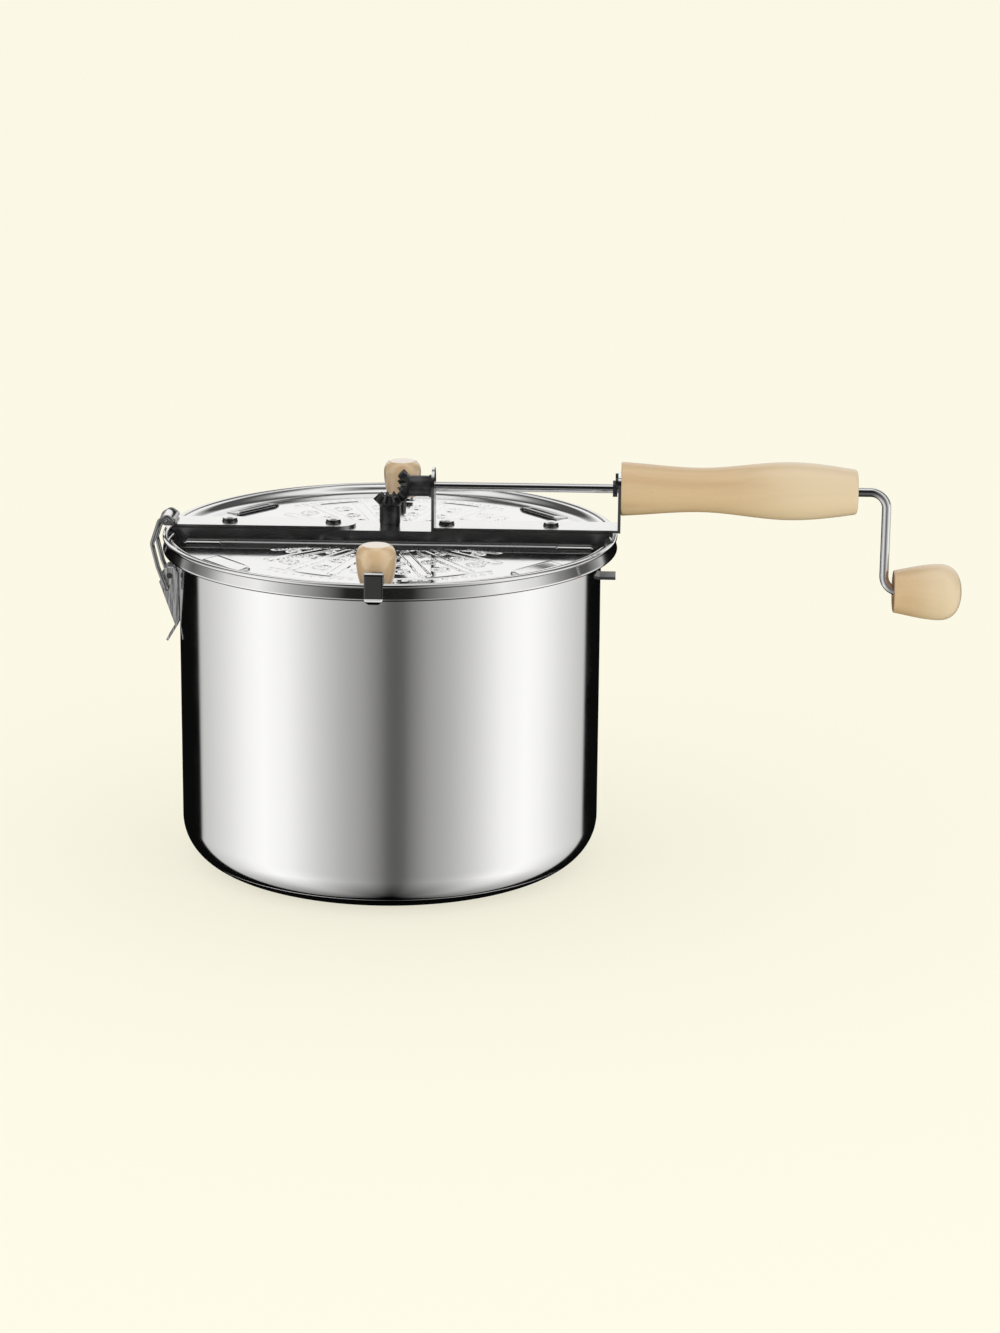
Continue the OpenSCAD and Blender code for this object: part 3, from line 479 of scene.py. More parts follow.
def cut(piece, cutters):
    """Cuts the cutters' shapes out of a piece, and removes the cutters."""
    for tool in cutters:
        work = piece.modifiers.new("cut", "BOOLEAN")
        work.operation = "DIFFERENCE"
        work.solver = "MANIFOLD"
        work.object = tool
        bpy.context.view_layer.update()
        baked = bpy.data.meshes.new_from_object(
            piece.evaluated_get(bpy.context.evaluated_depsgraph_get())
        )
        piece.modifiers.clear()
        piece.data = baked
        bpy.data.objects.remove(tool)


cut(pot_shell, [cutter])
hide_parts("pot_shell")
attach(pot_shell, "pot")


# Heat spreader. A disc of aluminium under the pot's floor, held by a stainless cap that is pressed
# up over it. The cap's edge shows as a thin bright line low on the pot.
cap_edge_round = 0.00045
core_aluminium = steel(
    "core_aluminium", color=(0.78, 0.78, 0.79), roughness=0.32, spread=0.1,
    streaks=(6, 400, 400), depth=0.000003, round_axis=True,
)
nodes["base_core"].material_slots[0].material = core_aluminium
cap_inner_radius = corner_radius - cap_thickness
lip_angle = cap_edge_angle - math.degrees(cap_edge_round / corner_radius)
lip_distance = corner_radius - cap_edge_round
lip_centre = (
    corner_centre[0] + lip_distance * math.cos(math.radians(lip_angle)),
    corner_centre[1] + lip_distance * math.sin(math.radians(lip_angle)),
)
cap_outline = (
    [(0, 0)]
    + arc(corner_centre, corner_radius, -90, lip_angle, 20)[:-1]
    + arc(lip_centre, cap_edge_round, lip_angle, lip_angle + 90, 8)
    + arc(corner_centre, cap_inner_radius, cap_edge_angle, -90, 16)
    + [(0, cap_thickness)]
)
base_cap = turned("pressed_cap", cap_outline, pot_steel, steps=turning_steps)
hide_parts("base_cap")
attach(base_cap, "pot")


# Lid bar. A folded steel channel across the mouth, the hook leg bolted under its right end, the
# strap with the rolled catch on its left half, and the gear bracket on its right half.
# Painted light and shade: the base colour of level faces and of upright faces
level_shade = 0.84
upright_shade = 0.26
level_facing = (0.35, 0.85)


def paint_upright_shade(material, level, upright):
    """Paints light and shade into the base colour: faces that lie level are painted bright and
    upright faces dark.
    """
    tree = material.node_tree
    facing = add_node(tree, "TexCoord")
    split = add_node(tree, "SeparateXYZ")
    tree.links.new(facing.outputs["Normal"], split.inputs[0])
    rise = linked(tree, "Math", [split.outputs["Z"]], operation="ABSOLUTE")
    shade = linked(tree, "MapRange", [rise, *level_facing, upright, level])
    tree.links.new(shade, tree.nodes["Principled BSDF"].inputs["Base Color"])


bar_steel = steel(
    "bar_steel", color=(0.72, 0.72, 0.73), roughness=0.2, spread=0.07,
    streaks=(30, 1400, 1400), depth=0.000002,
)
# Painted light and shade on the bar, the strap and the bracket: level faces bright, upright faces
# dark
paint_upright_shade(bar_steel, level_shade, upright_shade)
# The hook leg's steel is painted dark: a painted shade on the piece
hook_shaded_steel = steel(
    "hook_shaded_steel", color=(0.16, 0.16, 0.165), roughness=0.4, spread=0.15,
    streaks=(300, 300, 300), depth=0.000004,
)
for name, material in (
    ("cross_bar", bar_steel), ("catch_strap", bar_steel), ("gear_bracket", bar_steel),
    ("hook_leg", hook_shaded_steel),
):
    nodes[name].material_slots[0].material = material


# Fasteners. Plated steel screws with domed hexagon heads on a thin flange and their nuts, the lid
# knobs' screws, the latch's rivets and pin, the hinge pins and the spring rings.
fastener_steel = steel(
    "fastener_steel", color=(0.5, 0.5, 0.5), roughness=0.22, spread=0.1,
    streaks=(500, 500, 500), depth=0.000004,
)
# Painted light and shade on the fasteners: level faces bright, upright faces dark
paint_upright_shade(fastener_steel, level=0.85, upright=0.12)
for name in (
    "strap_screws", "strap_nuts", "latch_rivets", "lever_pin", "knob_retainer", "shaft_clip",
    "front_knob_screw", "rear_knob_screw", "front_hinge_pin", "rear_hinge_pin",
):
    nodes[name].material_slots[0].material = fastener_steel


# Bevel gears with their cross pins and washer, bush, set collar and handle screws. Iron, oiled
# nearly black, with a fine grain and bare metal showing a little in patches.
gear_grain_scale = 2200
gear_grain_depth = 0.00003
gear_patch_scale = 160
gear_patch_range = (0.35, 0.72)
gear_oiled = (0.035, 0.035, 0.037, 1)
gear_bare = (0.13, 0.13, 0.135, 1)
gear_roughness = (0.28, 0.55)
gear_iron, gear_shader = new_material("gear_iron", Metallic=0.9)
gear_tree = gear_iron.node_tree
gear_place = add_node(gear_tree, "TexCoord")
gear_grain = add_node(gear_tree, "TexNoise")
gear_grain.inputs["Scale"].default_value = gear_grain_scale
gear_grain.inputs["Detail"].default_value = 2
gear_patches = add_node(gear_tree, "TexNoise")
gear_patches.inputs["Scale"].default_value = gear_patch_scale
gear_patches.inputs["Detail"].default_value = 4
for texture in (gear_grain, gear_patches):
    gear_tree.links.new(gear_place.outputs["Object"], texture.inputs["Vector"])
gear_color = add_node(gear_tree, "ValToRGB")
gear_stops = zip(gear_color.color_ramp.elements, gear_patch_range, (gear_oiled, gear_bare))
for stop, place, color in gear_stops:
    stop.position = place
    stop.color = color
gear_dull = add_node(gear_tree, "MapRange")
gear_dull.inputs["To Min"].default_value = gear_roughness[0]
gear_dull.inputs["To Max"].default_value = gear_roughness[1]
gear_bump = add_node(gear_tree, "Bump")
gear_bump.inputs["Distance"].default_value = gear_grain_depth
gear_tree.links.new(gear_patches.outputs["Fac"], gear_color.inputs["Fac"])
gear_tree.links.new(gear_color.outputs["Color"], gear_shader.inputs["Base Color"])
gear_tree.links.new(gear_patches.outputs["Fac"], gear_dull.inputs["Value"])
gear_tree.links.new(gear_dull.outputs[0], gear_shader.inputs["Roughness"])
gear_tree.links.new(gear_grain.outputs["Fac"], gear_bump.inputs["Height"])
gear_tree.links.new(gear_bump.outputs[0], gear_shader.inputs["Normal"])
for name in (
    "drive_gear", "driven_gear", "drive_gear_pin", "driven_gear_pin", "shaft_bush", "rod_collar",
    "gear_washer", "handle_screws",
):
    nodes[name].material_slots[0].material = gear_iron


# Wires. Drawn steel, bright on the crank rod with its arm bent from the same length, the stirrer
# shaft and the stirring wire, and darker on the latch bail.
wire_steel = steel(
    "wire_steel", color=(0.74, 0.74, 0.75), roughness=0.09, spread=0.06,
    streaks=(60, 60, 60), depth=0.000002,
)
wire_sides = 32
wire_tip = 0.25
shaft_radius = 0.00238
crank_height = 0.2016
crank_drop = 0.053
crank_start_x = 0.007
crank_arm_x = 0.26
crank_end_x = 0.2965
crank_bend = 0.0085


def rounded_path(corners, steps=10):
    """Points along straight runs joined by arcs, from corners of (point, bend radius)."""
    points = [np.array(corners[0][0], float)]
    for (before, _), (here, bend), (after, _) in zip(corners, corners[1:], corners[2:]):
        c = np.array(here, float)
        u = np.array(before, float) - c
        v = np.array(after, float) - c
        u /= np.linalg.norm(u)
        v /= np.linalg.norm(v)
        half = math.acos(np.clip(u @ v, -1, 1)) / 2
        centre = c + (u + v) / np.linalg.norm(u + v) * bend / math.sin(half)
        start = c + u * bend / math.tan(half) - centre
        end = c + v * bend / math.tan(half) - centre
        for i in range(steps + 1):
            way = start * (1 - i / steps) + end * i / steps
            points.append(centre + way / np.linalg.norm(way) * bend)
    points.append(np.array(corners[-1][0], float))
    return points


def bent_wire(name, corners, radius, material, steps=10):
    """A round wire along a rounded path, with its ends closed and slightly rounded."""
    path = rounded_path(corners, steps)
    first = path[0] - path[1]
    last = path[-1] - path[-2]
    tip = radius * wire_tip
    path = [path[0]] + [path[0] - first / np.linalg.norm(first) * tip] + path[1:-1] + [
        path[-1] - last / np.linalg.norm(last) * tip, path[-1]
    ]
    radii = [radius - tip] + [radius] * (len(path) - 2) + [radius - tip]
    points = []
    faces = []
    side = None
    for i, p in enumerate(path):
        way = path[min(i + 1, len(path) - 1)] - path[max(i - 1, 0)]
        way = way / np.linalg.norm(way)
        if side is None:
            side = np.cross(way, (0, 0, 1) if abs(way[2]) < 0.9 else (1, 0, 0))
        side = side - way * (side @ way)
        side /= np.linalg.norm(side)
        up = np.cross(way, side)
        for k in range(wire_sides):
            turn = 2 * math.pi * k / wire_sides
            points.append(p + radii[i] * (math.cos(turn) * side + math.sin(turn) * up))
        if i:
            for k in range(wire_sides):
                m = (k + 1) % wire_sides
                a, b = (i - 1) * wire_sides, i * wire_sides
                faces.append((a + k, a + m, b + m, b + k))
    faces.append(tuple(range(wire_sides)))
    faces.append(tuple(range(len(points) - wire_sides, len(points))))
    return new_piece(name, points, faces, material)


crank_low = crank_height - crank_drop
crank_rod = bent_wire(
    "bent_crank_rod",
    [((crank_start_x, 0, crank_height), 0), ((crank_arm_x, 0, crank_height), crank_bend),
     ((crank_arm_x, 0, crank_low), crank_bend), ((crank_end_x, 0, crank_low), 0)],
    shaft_radius,
    wire_steel,
    steps=16,
)
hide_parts("crank_rod")
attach(crank_rod, "crank")
for name in ("stir_shaft", "stir_wire"):
    nodes[name].material_slots[0].material = wire_steel

lever_place = (-0.1168, 0.1525)
bail_radius = 0.0012
bail_half = 0.0092
bail_eye_y = 0.0063
bail_side = [
    ((-0.0015, -0.007), 0.0016), ((-0.0059, 0.0052), 0.006), ((-0.0088, 0.0177), 0.004),
    ((-0.0046, 0.0302), 0.003), ((-0.0006, 0.0326), 0.0016), ((0.0028, 0.0303), 0.0013),
]
bail_leg = [
    ((lever_place[0] + x, -bail_half, lever_place[1] + z), bend) for (x, z), bend in bail_side
]
bail_corners = (
    [((bail_leg[0][0][0], -bail_eye_y, bail_leg[0][0][2]), 0)]
    + bail_leg
    + [((x, -y, z), bend) for (x, y, z), bend in bail_leg[::-1]]
    + [((bail_leg[0][0][0], bail_eye_y, bail_leg[0][0][2]), 0)]
)
bail_steel = steel(
    "bail_steel", color=(0.32, 0.32, 0.325), roughness=0.1, spread=0.08,
    streaks=(60, 60, 60), depth=0.000002,
)
latch_bail = bent_wire("bent_bail", bail_corners, bail_radius, bail_steel, steps=6)
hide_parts("latch_bail")
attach(latch_bail, "bail")


# Wood. The handle, the crank knob and the two lid knobs are turned from pale beech, sanded and
# given a thin clear lacquer. The grain runs along each piece, with the short dark flecks of beech.
handle_start_x = 0.1215
handle_length = 0.123
handle_radii = [
    (0, 0.01415, -0.05), (0.0413, 0.0116, 0), (0.0882, 0.01515, 0), (0.123, 0.0116, -0.16),
]
wood_bore = 0.00268
crank_knob_x = 0.2651
crank_knob_length = 0.0355
crank_knob_radii = [(0, 0.0111, 0.18), (0.024, 0.01475, 0)]
crank_dome = 0.0115
dome_power = 2.3
knob_mouth_r = 0.0039
knob_mouth_end = 0.2688
lid_knob_y = 0.102
lid_knob_foot_z = 0.174
lid_knob_height = 0.0195
lid_knob_radii = [(0, 0.00825, 0.3), (0.01326, 0.01025, 0), (0.0195, 0.0074, -1.2)]
wood_edge = 0.0008
handle_end_edge = 0.0018
wood_light = (0.66, 0.48, 0.28, 1)
wood_dark = (0.57, 0.39, 0.21, 1)
wood_fleck = (0.45, 0.29, 0.15, 1)
# Painted light: the paler colour on the lit right part of the handle and the crank knob
wood_painted_light = (0.76, 0.63, 0.44, 1)
# End grain colour: partly the wood's own darker end grain, partly painted shade
wood_end_and_shade = (0.38, 0.22, 0.13, 1)
# Painted highlight on the tops of the upright knobs
wood_top_highlight = (0.8, 0.7, 0.58, 1)
wood_roughness = 0.42
# Where the painted light climbs along the handle and along the crank knob
handle_pale = (0.17, 0.225)
knob_pale = (0.27, 0.292)
wood_steps = 96
dome_steps = 24
growth_stretch = (9, 130, 130)
fibre_stretch = (110, 2600, 2600)
fleck_stretch = (420, 3600, 1500)
fibre_depth = 0.00001
# Where each kind of mark starts, where it is full, and how strong it is then
growth_share = (0.35, 0.72, 0.7)
fibre_share = (0.45, 0.8, 0.25)
fleck_share = (0.68, 0.78, 0.35)
end_grain_and_shade_share = (0.93, 0.985, 0.8)
top_highlight_share = (0.8, 0.97, 0.8)
# How strong the painted light is when full
painted_light_most = 0.75

grain_tree, grain_in, grain_out = group_of(
    "beech_grain",
    [("Vector", "Vector", None), ("Light", "Color", wood_light), ("Dark", "Color", wood_dark),
     ("Fleck", "Color", wood_fleck)],
    [("Color", "Color"), ("Fibres", "Float")],
)


def stretched_noise(tree, source, stretch, detail, distortion=0.0):
    """Noise that runs out along the grain, which lies on X."""
    scaled = add_node(tree, "VectorMath", operation="MULTIPLY")
    scaled.inputs[1].default_value = stretch
    tree.links.new(source, scaled.inputs[0])
    noise = add_node(tree, "TexNoise")
    noise.inputs["Scale"].default_value = 1
    noise.inputs["Detail"].default_value = detail
    noise.inputs["Distortion"].default_value = distortion
    tree.links.new(scaled.outputs[0], noise.inputs["Vector"])
    return noise.outputs["Fac"]


def blended(tree, share, first, second):
    """One colour mixed into another by a share."""
    mix = add_node(tree, "Mix", data_type="RGBA")
    tree.links.new(share, mix.inputs["Factor"])
    tree.links.new(first, mix.inputs["A"])
    tree.links.new(second, mix.inputs["B"])
    return mix.outputs["Result"]


def plain_color(tree, color):
    """One colour's socket."""
    made = add_node(tree, "RGB")
    made.outputs[0].default_value = color
    return made.outputs[0]


def stepped(tree, value, start, end, top):
    """A value that climbs from zero to top between two others."""
    climb = add_node(tree, "MapRange", interpolation_type="SMOOTHSTEP")
    climb.inputs["From Min"].default_value = start
    climb.inputs["From Max"].default_value = end
    climb.inputs["To Max"].default_value = top
    tree.links.new(value, climb.inputs["Value"])
    return climb.outputs[0]


grain_vector = grain_in.outputs["Vector"]
growth = stretched_noise(grain_tree, grain_vector, growth_stretch, detail=2, distortion=0.6)
fibres = stretched_noise(grain_tree, grain_vector, fibre_stretch, detail=3)
flecks = stretched_noise(grain_tree, grain_vector, fleck_stretch, detail=1)
tone = blended(
    grain_tree, stepped(grain_tree, growth, *growth_share),
    grain_in.outputs["Light"], grain_in.outputs["Dark"],
)
toned = blended(
    grain_tree, stepped(grain_tree, fibres, *fibre_share), tone, grain_in.outputs["Dark"]
)
flecked = blended(
    grain_tree, stepped(grain_tree, flecks, *fleck_share), toned, grain_in.outputs["Fleck"]
)
grain_tree.links.new(flecked, grain_out.inputs["Color"])
grain_tree.links.new(fibres, grain_out.inputs["Fibres"])


def beech(name, along, pale=None, coat=0.45, coat_roughness=0.16, coat_ior=1.5):
    """Lacquered beech with its grain along X or Z. Along X it turns paler between two places, as
    painted light, and its end grain is darker, partly its own colour and partly painted shade. An
    upright piece has a painted highlight on its top."""
    material, shader = new_material(
        name, Roughness=wood_roughness, Coat_Weight=coat, Coat_Roughness=coat_roughness,
        Coat_IOR=coat_ior, Specular_IOR_Level=0.4,
    )
    tree = material.node_tree
    place = add_node(tree, "TexCoord")
    turned_place = add_node(tree, "Mapping")
    if along == "Z":
        turned_place.inputs["Rotation"].default_value = (0, math.pi / 2, 0)
    tree.links.new(place.outputs["Object"], turned_place.inputs["Vector"])
    grain = add_node(tree, "Group", node_tree=grain_tree)
    tree.links.new(turned_place.outputs[0], grain.inputs["Vector"])
    color = grain.outputs["Color"]
    split = add_node(tree, "SeparateXYZ")
    tree.links.new(place.outputs["Object"], split.inputs[0])
    facing = add_node(tree, "SeparateXYZ")
    tree.links.new(place.outputs["Normal"], facing.inputs[0])
    if pale:
        # Painted light: paler along X from the first place on
        painted_light_share = stepped(tree, split.outputs["X"], *pale, painted_light_most)
        color = blended(tree, painted_light_share, color, plain_color(tree, wood_painted_light))
        end_facing = linked(tree, "Math", [facing.outputs["X"]], operation="ABSOLUTE")
        # Faces turned along X darker: partly end grain, partly painted shade
        end_grain_and_shade = stepped(tree, end_facing, *end_grain_and_shade_share)
        color = blended(tree, end_grain_and_shade, color, plain_color(tree, wood_end_and_shade))
    else:
        # Painted highlight: faces turned up painted pale
        painted_top_highlight = stepped(tree, facing.outputs["Z"], *top_highlight_share)
        color = blended(tree, painted_top_highlight, color, plain_color(tree, wood_top_highlight))
    tree.links.new(color, shader.inputs["Base Color"])
    bump = add_node(tree, "Bump")
    bump.inputs["Distance"].default_value = fibre_depth
    tree.links.new(grain.outputs["Fibres"], bump.inputs["Height"])
    tree.links.new(bump.outputs[0], shader.inputs["Normal"])
    return material


beech_handle = beech("beech_handle", "X", handle_pale)
beech_crank = beech("beech_crank", "X", knob_pale)
beech_upright = beech("beech_upright", "Z", coat=1.0, coat_roughness=0.1, coat_ior=1.75)


def smooth_radius(stations, x):
    """Radius at x on a smooth curve through stations of (place, radius, slope)."""
    index = 0
    while index < len(stations) - 2 and x > stations[index + 1][0]:
        index += 1
    (x0, r0, s0), (x1, r1, s1) = stations[index], stations[index + 1]
    w = x1 - x0
    t = (x - x0) / w
    return (
        r0 * (2 * t**3 - 3 * t**2 + 1) + r1 * (3 * t**2 - 2 * t**3)
        + w * s0 * (t**3 - 2 * t**2 + t) + w * s1 * (t**3 - t**2)
    )


def stations_between(stations, start, end, steps):
    """Outline points along a smooth curve, from one place to another."""
    places = [start + (end - start) * i / steps for i in range(steps + 1)]
    return [(smooth_radius(stations, place), place) for place in places]


def shifted(outline, along):
    """The outline moved along its axis."""
    return [(r, h + along) for r, h in outline]


handle_start_r = smooth_radius(handle_radii, wood_edge)
handle_end_r = smooth_radius(handle_radii, handle_length - handle_end_edge)
handle_outline = (
    [(wood_bore, 0)]
    + arc((handle_start_r - wood_edge, wood_edge), wood_edge, -90, 0, 5)
    + stations_between(handle_radii, wood_edge, handle_length - handle_end_edge, 72)
    + arc(
        (handle_end_r - handle_end_edge, handle_length - handle_end_edge), handle_end_edge, 0, 90, 8
    )
    + [(wood_bore, handle_length)]
)
handle = turned(
    "turned_handle", shifted(handle_outline, handle_start_x), beech_handle,
    steps=wood_steps, along="X", centre=(0, 0, crank_height),
)
handle.visible_glossy = False
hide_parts("handle_grip")
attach(handle, "pot")

face_r = smooth_radius(crank_knob_radii, wood_edge)
dome_start = crank_knob_length - crank_dome
crank_knob_outline = (
    [(0, knob_mouth_end - crank_knob_x), (knob_mouth_r, knob_mouth_end - crank_knob_x),
     (knob_mouth_r, 0)]
    + arc((face_r - wood_edge, wood_edge), wood_edge, -90, 0, 5)
    + stations_between(crank_knob_radii, wood_edge, dome_start, 30)
    + [(crank_knob_radii[1][1] * math.cos(math.pi / 2 * i / dome_steps) ** (2 / dome_power),
        dome_start + crank_dome * math.sin(math.pi / 2 * i / dome_steps) ** (2 / dome_power))
       for i in range(1, dome_steps)]
    + [(0, crank_knob_length)]
)
crank_knob = turned(
    "turned_crank_knob", shifted(crank_knob_outline, crank_knob_x), beech_crank,
    steps=wood_steps, along="X", centre=(0, 0, crank_low),
)
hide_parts("crank_knob")
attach(crank_knob, "knob")

top_r = lid_knob_radii[-1][1]
lid_knob_outline = (
    [(0, 0)]
    + stations_between(lid_knob_radii, 0, lid_knob_height - wood_edge, 36)
    + arc((top_r - wood_edge, lid_knob_height - wood_edge), wood_edge, 30, 90, 5)
    + [(0, lid_knob_height)]
)
for side, name in ((-1, "front"), (1, "rear")):
    lid_knob = turned(
        name + "_turned_knob", shifted(lid_knob_outline, lid_knob_foot_z), beech_upright,
        steps=72, centre=(0, side * lid_knob_y, 0),
    )
    lid_knob.visible_glossy = False
    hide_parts(name + "_knob")
    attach(lid_knob, name + "_flap")


# Lid flaps. Two half moons of thin bright steel, each rolled into a hinge barrel along the bar,
# dipped beside it and turned up at the rim. Ribs, rings and beads are stamped into them, and each
# has two louvres for steam.
lid_steel = steel(
    "lid_steel", color=(0.86, 0.86, 0.87), roughness=0.07, spread=0.05,
    streaks=(500, 500, 500), depth=0.000003,
)
flap_sheet = 0.0008
flap_low = 0.1722
flap_start_y = 0.01605
flap_wide = 0.0885
flap_notch_y = 0.01665
rim_start_y = 0.027
dish_depth = 0.0016
dish_end_y = 0.030
rim_foot_r = 0.1106
rim_profile = [
    (0.1113, 0.00004), (0.112, 0.0002), (0.1127, 0.00062), (0.1134, 0.00128), (0.114, 0.00205),
    (0.1146, 0.00285), (0.1152, 0.00355), (0.1158, 0.00400), (0.1162, 0.00400),
]
flap_columns = 400
flap_rows = 150
line_half = 0.0007
line_height = 0.00052
# Each rib's turn from the bar in degrees, and where it ends
ribs = ((26, 0.064), (42, 0.078), (58, 0.084), (74, 0.084))
rib_start = 0.036
rib_half = 0.0025
rib_floor = 0.00022
inner_ring_r = 0.0300
outer_ring_r = 0.0895
ring_turns = (50, 53)
# Each row of small rings: its place and size, and the first turn that has one
ring_rows = ((0.0440, 0.0024, 34), (0.0580, 0.0034, 34), (0.0745, 0.0044, 50))
ring_row_turns = (34, 50, 66, 82)
ring_line = 0.8
ring_dot = 0.45
rim_bead_r = 0.0935
rim_bead_turn = 3.2
rim_bead_half = 0.0016
rim_bead_height = 0.0006
vent_turns = (39, 141)
vent_radius = 0.0988
vent_length = 0.030
vent_slot = 0.0019
vent_cut = (-0.002, 0.003)
hood_start = vent_radius - vent_slot / 4
hood_seat = 1.1
hood_length = 0.032
hood_width = 0.0085
hood_height = 0.0013
hood_end = 0.004
hood_sheet = 0.0006
vent_clear = 0.007
relief_fade = 0.002
hood_rows = 6
hood_columns = 40


def bump_at(distance, half, height):
    """Height of a soft ridge, by the distance from its middle line."""
    t = np.clip(1 - np.abs(distance) / half, 0, 1)
    return height * t * t * (3 - 2 * t)


def flap_relief(x, y):
    """Height of the stamped relief at a place on a flap, with y measured away from the bar."""
    r = np.hypot(x, y)
    turn = np.degrees(np.arctan2(y, np.abs(x)))
    height = bump_at(r - inner_ring_r, line_half, line_height)
    ring_share = np.clip((turn - ring_turns[0]) / (ring_turns[1] - ring_turns[0]), 0, 1)
    height = np.maximum(height, bump_at(r - outer_ring_r, line_half, line_height) * ring_share)
    for angle, rib_end in ribs:
        way = (math.cos(math.radians(angle)), math.sin(math.radians(angle)))
        along = np.abs(x) * way[0] + y * way[1]
        across = np.abs(x) * way[1] - y * way[0]
        past = np.clip(along, rib_start, rib_end) - along
        edge = np.hypot(past, across) - rib_half
        height = np.maximum(height, bump_at(edge, line_half, line_height))
        height = np.where(edge < 0, np.maximum(height, rib_floor), height)
    for angle in ring_row_turns:
        way = (math.cos(math.radians(angle)), math.sin(math.radians(angle)))
        for place, size, first in ring_rows:
            if angle >= first:
                gap = np.hypot(np.abs(x) - place * way[0], y - place * way[1])
                line = bump_at(gap - size, line_half * ring_line, line_height)
                height = np.maximum(height, line)
                height = np.maximum(height, bump_at(gap, size * ring_dot, line_height))
    bead_turn = (turn / rim_bead_turn) % 1 - 0.5
    bead = np.hypot(r - rim_bead_r, bead_turn * math.radians(rim_bead_turn) * rim_bead_r)
    height = np.maximum(height, bump_at(bead, rim_bead_half, rim_bead_height) * ring_share)
    # The sheet is left plain round each louvre
    way = (math.cos(math.radians(vent_turns[0])), math.sin(math.radians(vent_turns[0])))
    outward = np.abs(x) * way[0] + y * way[1] - vent_radius - hood_width / 2
    across = y * way[0] - np.abs(x) * way[1]
    past = np.maximum(
        np.abs(outward) - hood_width / 2 - vent_clear, np.abs(across) - hood_length / 2 - vent_clear
    )
    return height * np.clip(past / relief_fade, 0, 1)


def thickened(piece, thickness):
    """Gives a piece of sheet its thickness, half to each side."""
    sheet = piece.modifiers.new("sheet", "SOLIDIFY")
    sheet.thickness = thickness
    sheet.offset = 0
    return piece


def grid_faces(rows, columns):
    """The faces between neighbouring points of a grid."""
    faces = []
    for i in range(rows):
        for k in range(columns):
            a = i * (columns + 1) + k
            b = a + columns + 1
            faces.append((a, a + 1, b + 1, b))
    return faces


def flap_mesh(side, name):
    """One flap as a thin sheet: a fan of points from the bar to the rim, then up the rim."""
    fan = np.radians(np.linspace(0.0, 180.0, flap_columns + 1))
    rows = np.linspace(0.0, 1.0, flap_rows + 1)
    reach = -flap_start_y * np.sin(fan) + np.sqrt(
        rim_foot_r**2 - (flap_start_y * np.cos(fan)) ** 2
    )
    x = np.outer(reach * np.cos(fan), rows)
    y = flap_start_y + np.outer(reach * np.sin(fan), rows)
    dish = np.clip((dish_end_y - y) / (dish_end_y - flap_start_y), 0, 1)
    z = flap_low + flap_sheet / 2 + flap_relief(x, y) - dish_depth * dish**2 * (3 - 2 * dish)
    edge_turn = np.arctan2(y[:, -1], x[:, -1])
    for r, lift in rim_profile:
        x = np.column_stack([x, r * np.cos(edge_turn)])
        y = np.column_stack([y, r * np.sin(edge_turn)])
        z = np.column_stack([z, z[:, flap_rows] + lift])
    count = x.shape[1]
    points = np.column_stack([x.ravel(), side * y.ravel(), z.ravel()])
    faces = []
    for i in range(flap_columns):
        for k in range(count - 1):
            a = i * count + k
            b = a + count
            corners = (a, b, b + 1, a + 1)
            middle = points[list(corners)].mean(0)
            past_rim = k >= flap_rows and abs(middle[1]) < rim_start_y
            past_barrel = abs(middle[0]) > flap_wide and abs(middle[1]) < flap_notch_y
            if not past_rim and not past_barrel:
                faces.append(corners)
    piece = new_piece(name, points, faces, lid_steel, sharp_angle=math.radians(60))
    return thickened(piece, flap_sheet)


def along_vent(side, turn, outward, across, height):
    """A point given in a louvre's own place: outward from the axis, across it, and up."""
    a = math.radians(turn)
    return (
        outward * math.cos(a) - across * math.sin(a),
        side * (outward * math.sin(a) + across * math.cos(a)),
        height,
    )


def vent_cutter(side, turn):
    """A box through the sheet where a louvre is open."""
    points = [
        along_vent(side, turn, vent_radius + o, a, z)
        for o in (-vent_slot / 2, vent_slot / 2)
        for a in (-vent_length / 2, vent_length / 2)
        for z in (flap_low + vent_cut[0], flap_low + vent_cut[1])
    ]
    return new_piece("vent_cutter", points, box_faces, lid_steel)


def louvre(side, turn, name):
    """The raised hood outside a slot, pressed up from the sheet and open towards the bar."""
    points = []
    for i in range(hood_rows + 1):
        out = i / hood_rows
        for k in range(hood_columns + 1):
            across = k / hood_columns * 2 - 1
            end = min(1, (1 - abs(across)) * hood_length / 2 / hood_end)
            lift = hood_height * (1 - out) * (1 - (1 - end) ** 2) ** 0.5
            points.append(along_vent(
                side, turn, hood_start + out * hood_width, across * hood_length / 2,
                flap_low + flap_sheet * hood_seat + lift,
            ))
    piece = new_piece(name, points, grid_faces(hood_rows, hood_columns), lid_steel)
    return thickened(piece, hood_sheet)


for side, name in ((-1, "front"), (1, "rear")):
    flap = flap_mesh(side, name + "_stamped_flap")
    cut(flap, [vent_cutter(side, turn) for turn in vent_turns])
    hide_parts(name + "_lid")
    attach(flap, name + "_flap")
    for end, turn in zip(("right", "left"), vent_turns):
        hood = louvre(side, turn, name + "_" + end + "_louvre")
        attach(hood, name + "_flap")


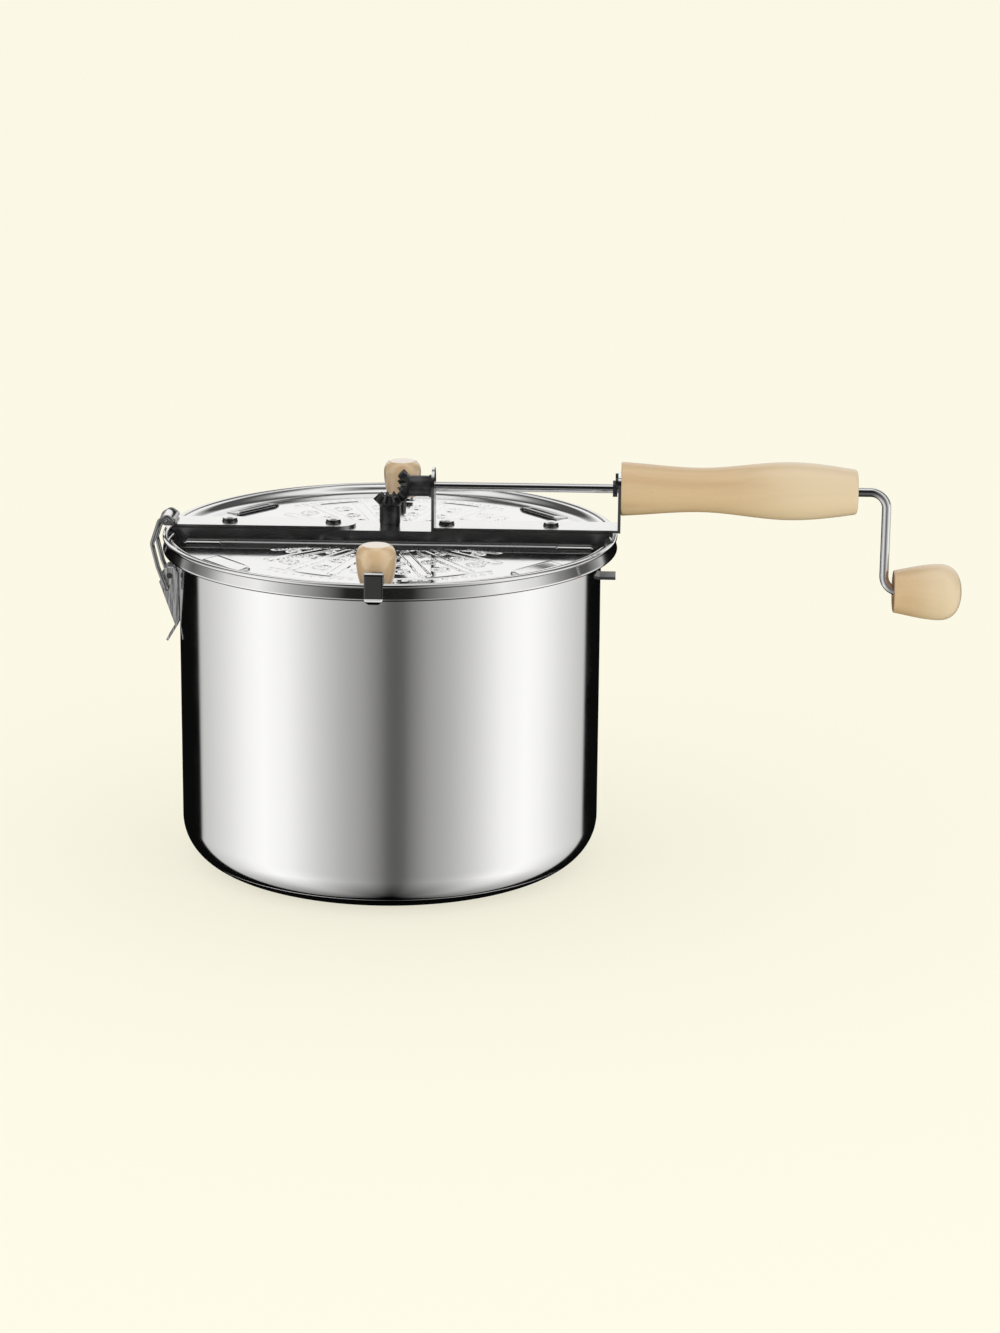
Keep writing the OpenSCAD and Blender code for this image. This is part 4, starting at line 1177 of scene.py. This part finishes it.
# Hinge barrels. The flap's inner edge is rolled into a tube round the hinge pin, between the
# knuckles that the bar carries at each end.
hinge_y = 0.0145
hinge_z = 0.1718
barrel_radius = 0.0022
barrel_half = 0.0885
barrel_bore = 0.00108
barrel_end = 0.0003
# Painted shade: the barrel is painted darker than the flap sheet it is rolled from
barrel_shaded_steel = steel(
    "barrel_shaded_steel", color=(0.42, 0.42, 0.425), roughness=0.24, spread=0.08,
    streaks=(30, 1400, 1400), depth=0.000002,
)
barrel_outline = [
    (barrel_bore, -barrel_half), (barrel_radius - barrel_end, -barrel_half),
    (barrel_radius, -barrel_half + barrel_end), (barrel_radius, barrel_half - barrel_end),
    (barrel_radius - barrel_end, barrel_half), (barrel_bore, barrel_half),
]
for side, name in ((-1, "front"), (1, "rear")):
    barrel = turned(
        name + "_rolled_barrel", barrel_outline, barrel_shaded_steel, steps=32, along="X",
        centre=(0, side * hinge_y, hinge_z),
    )
    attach(barrel, name + "_flap")


# Spring clips. A strip of dark spring steel is held under each lid knob, steps up over the rim and
# snaps down outside it, with its lower end bent out into a finger lip that narrows at the tip. Its
# upright faces are painted dark as painted shade, and its level faces painted bright.
spring_steel = steel(
    "spring_steel", color=(0.17, 0.17, 0.165), roughness=0.08, spread=0.05,
    streaks=(900, 60, 60), depth=0.000003,
)
# Painted shade on the clip's upright faces, painted highlight on its level faces
paint_upright_shade(spring_steel, level=0.85, upright=0.15)
clip_width = 0.0094
clip_sheet = 0.001
clip_path = [
    ((0.093, 0.1735), 0), ((0.111, 0.1735), 0.001), ((0.113, 0.1775), 0.001),
    ((0.1150, 0.1821), 0.0012), ((0.1208, 0.1829), 0.0009),
    ((0.1210, 0.1702), 0.0008), ((0.1228, 0.1690), 0.0006), ((0.1231, 0.1679), 0),
]
clip_columns = 10
clip_edge_round = 0.00025
lip_narrow = 0.5
lip_height = 0.0014
lip_tip_z = clip_path[-1][0][1]
clip_line = rounded_path(clip_path, steps=8)
for side, name in ((-1, "front"), (1, "rear")):
    clip_points = []
    for y, z in clip_line:
        narrow = min(1, lip_narrow + (z - lip_tip_z) / lip_height * (1 - lip_narrow))
        for k in range(clip_columns + 1):
            across = (k / clip_columns - 0.5) * clip_width * narrow
            clip_points.append((across, side * y, z))
    clip_faces = grid_faces(len(clip_line) - 1, clip_columns)
    clip = new_piece(name + "_bent_clip", clip_points, clip_faces, spring_steel)
    thickened(clip, clip_sheet)
    clip_edge = clip.modifiers.new("edge", "BEVEL")
    clip_edge.width = clip_edge_round
    clip_edge.segments = 2
    clip_edge.limit_method = "ANGLE"
    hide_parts(name + "_clip")
    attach(clip, name + "_flap")


# Draw latch. A nickel plated lever turns on a pin between the ears of a bracket riveted to the
# pot, and pulls the bail down over the catch.
latch_steel = steel(
    "latch_steel", color=(0.7, 0.7, 0.71), roughness=0.1, spread=0.06,
    streaks=(700, 700, 90), depth=0.00035,
)
for name in ("latch_bracket", "latch_lever"):
    nodes[name].material_slots[0].material = latch_steel
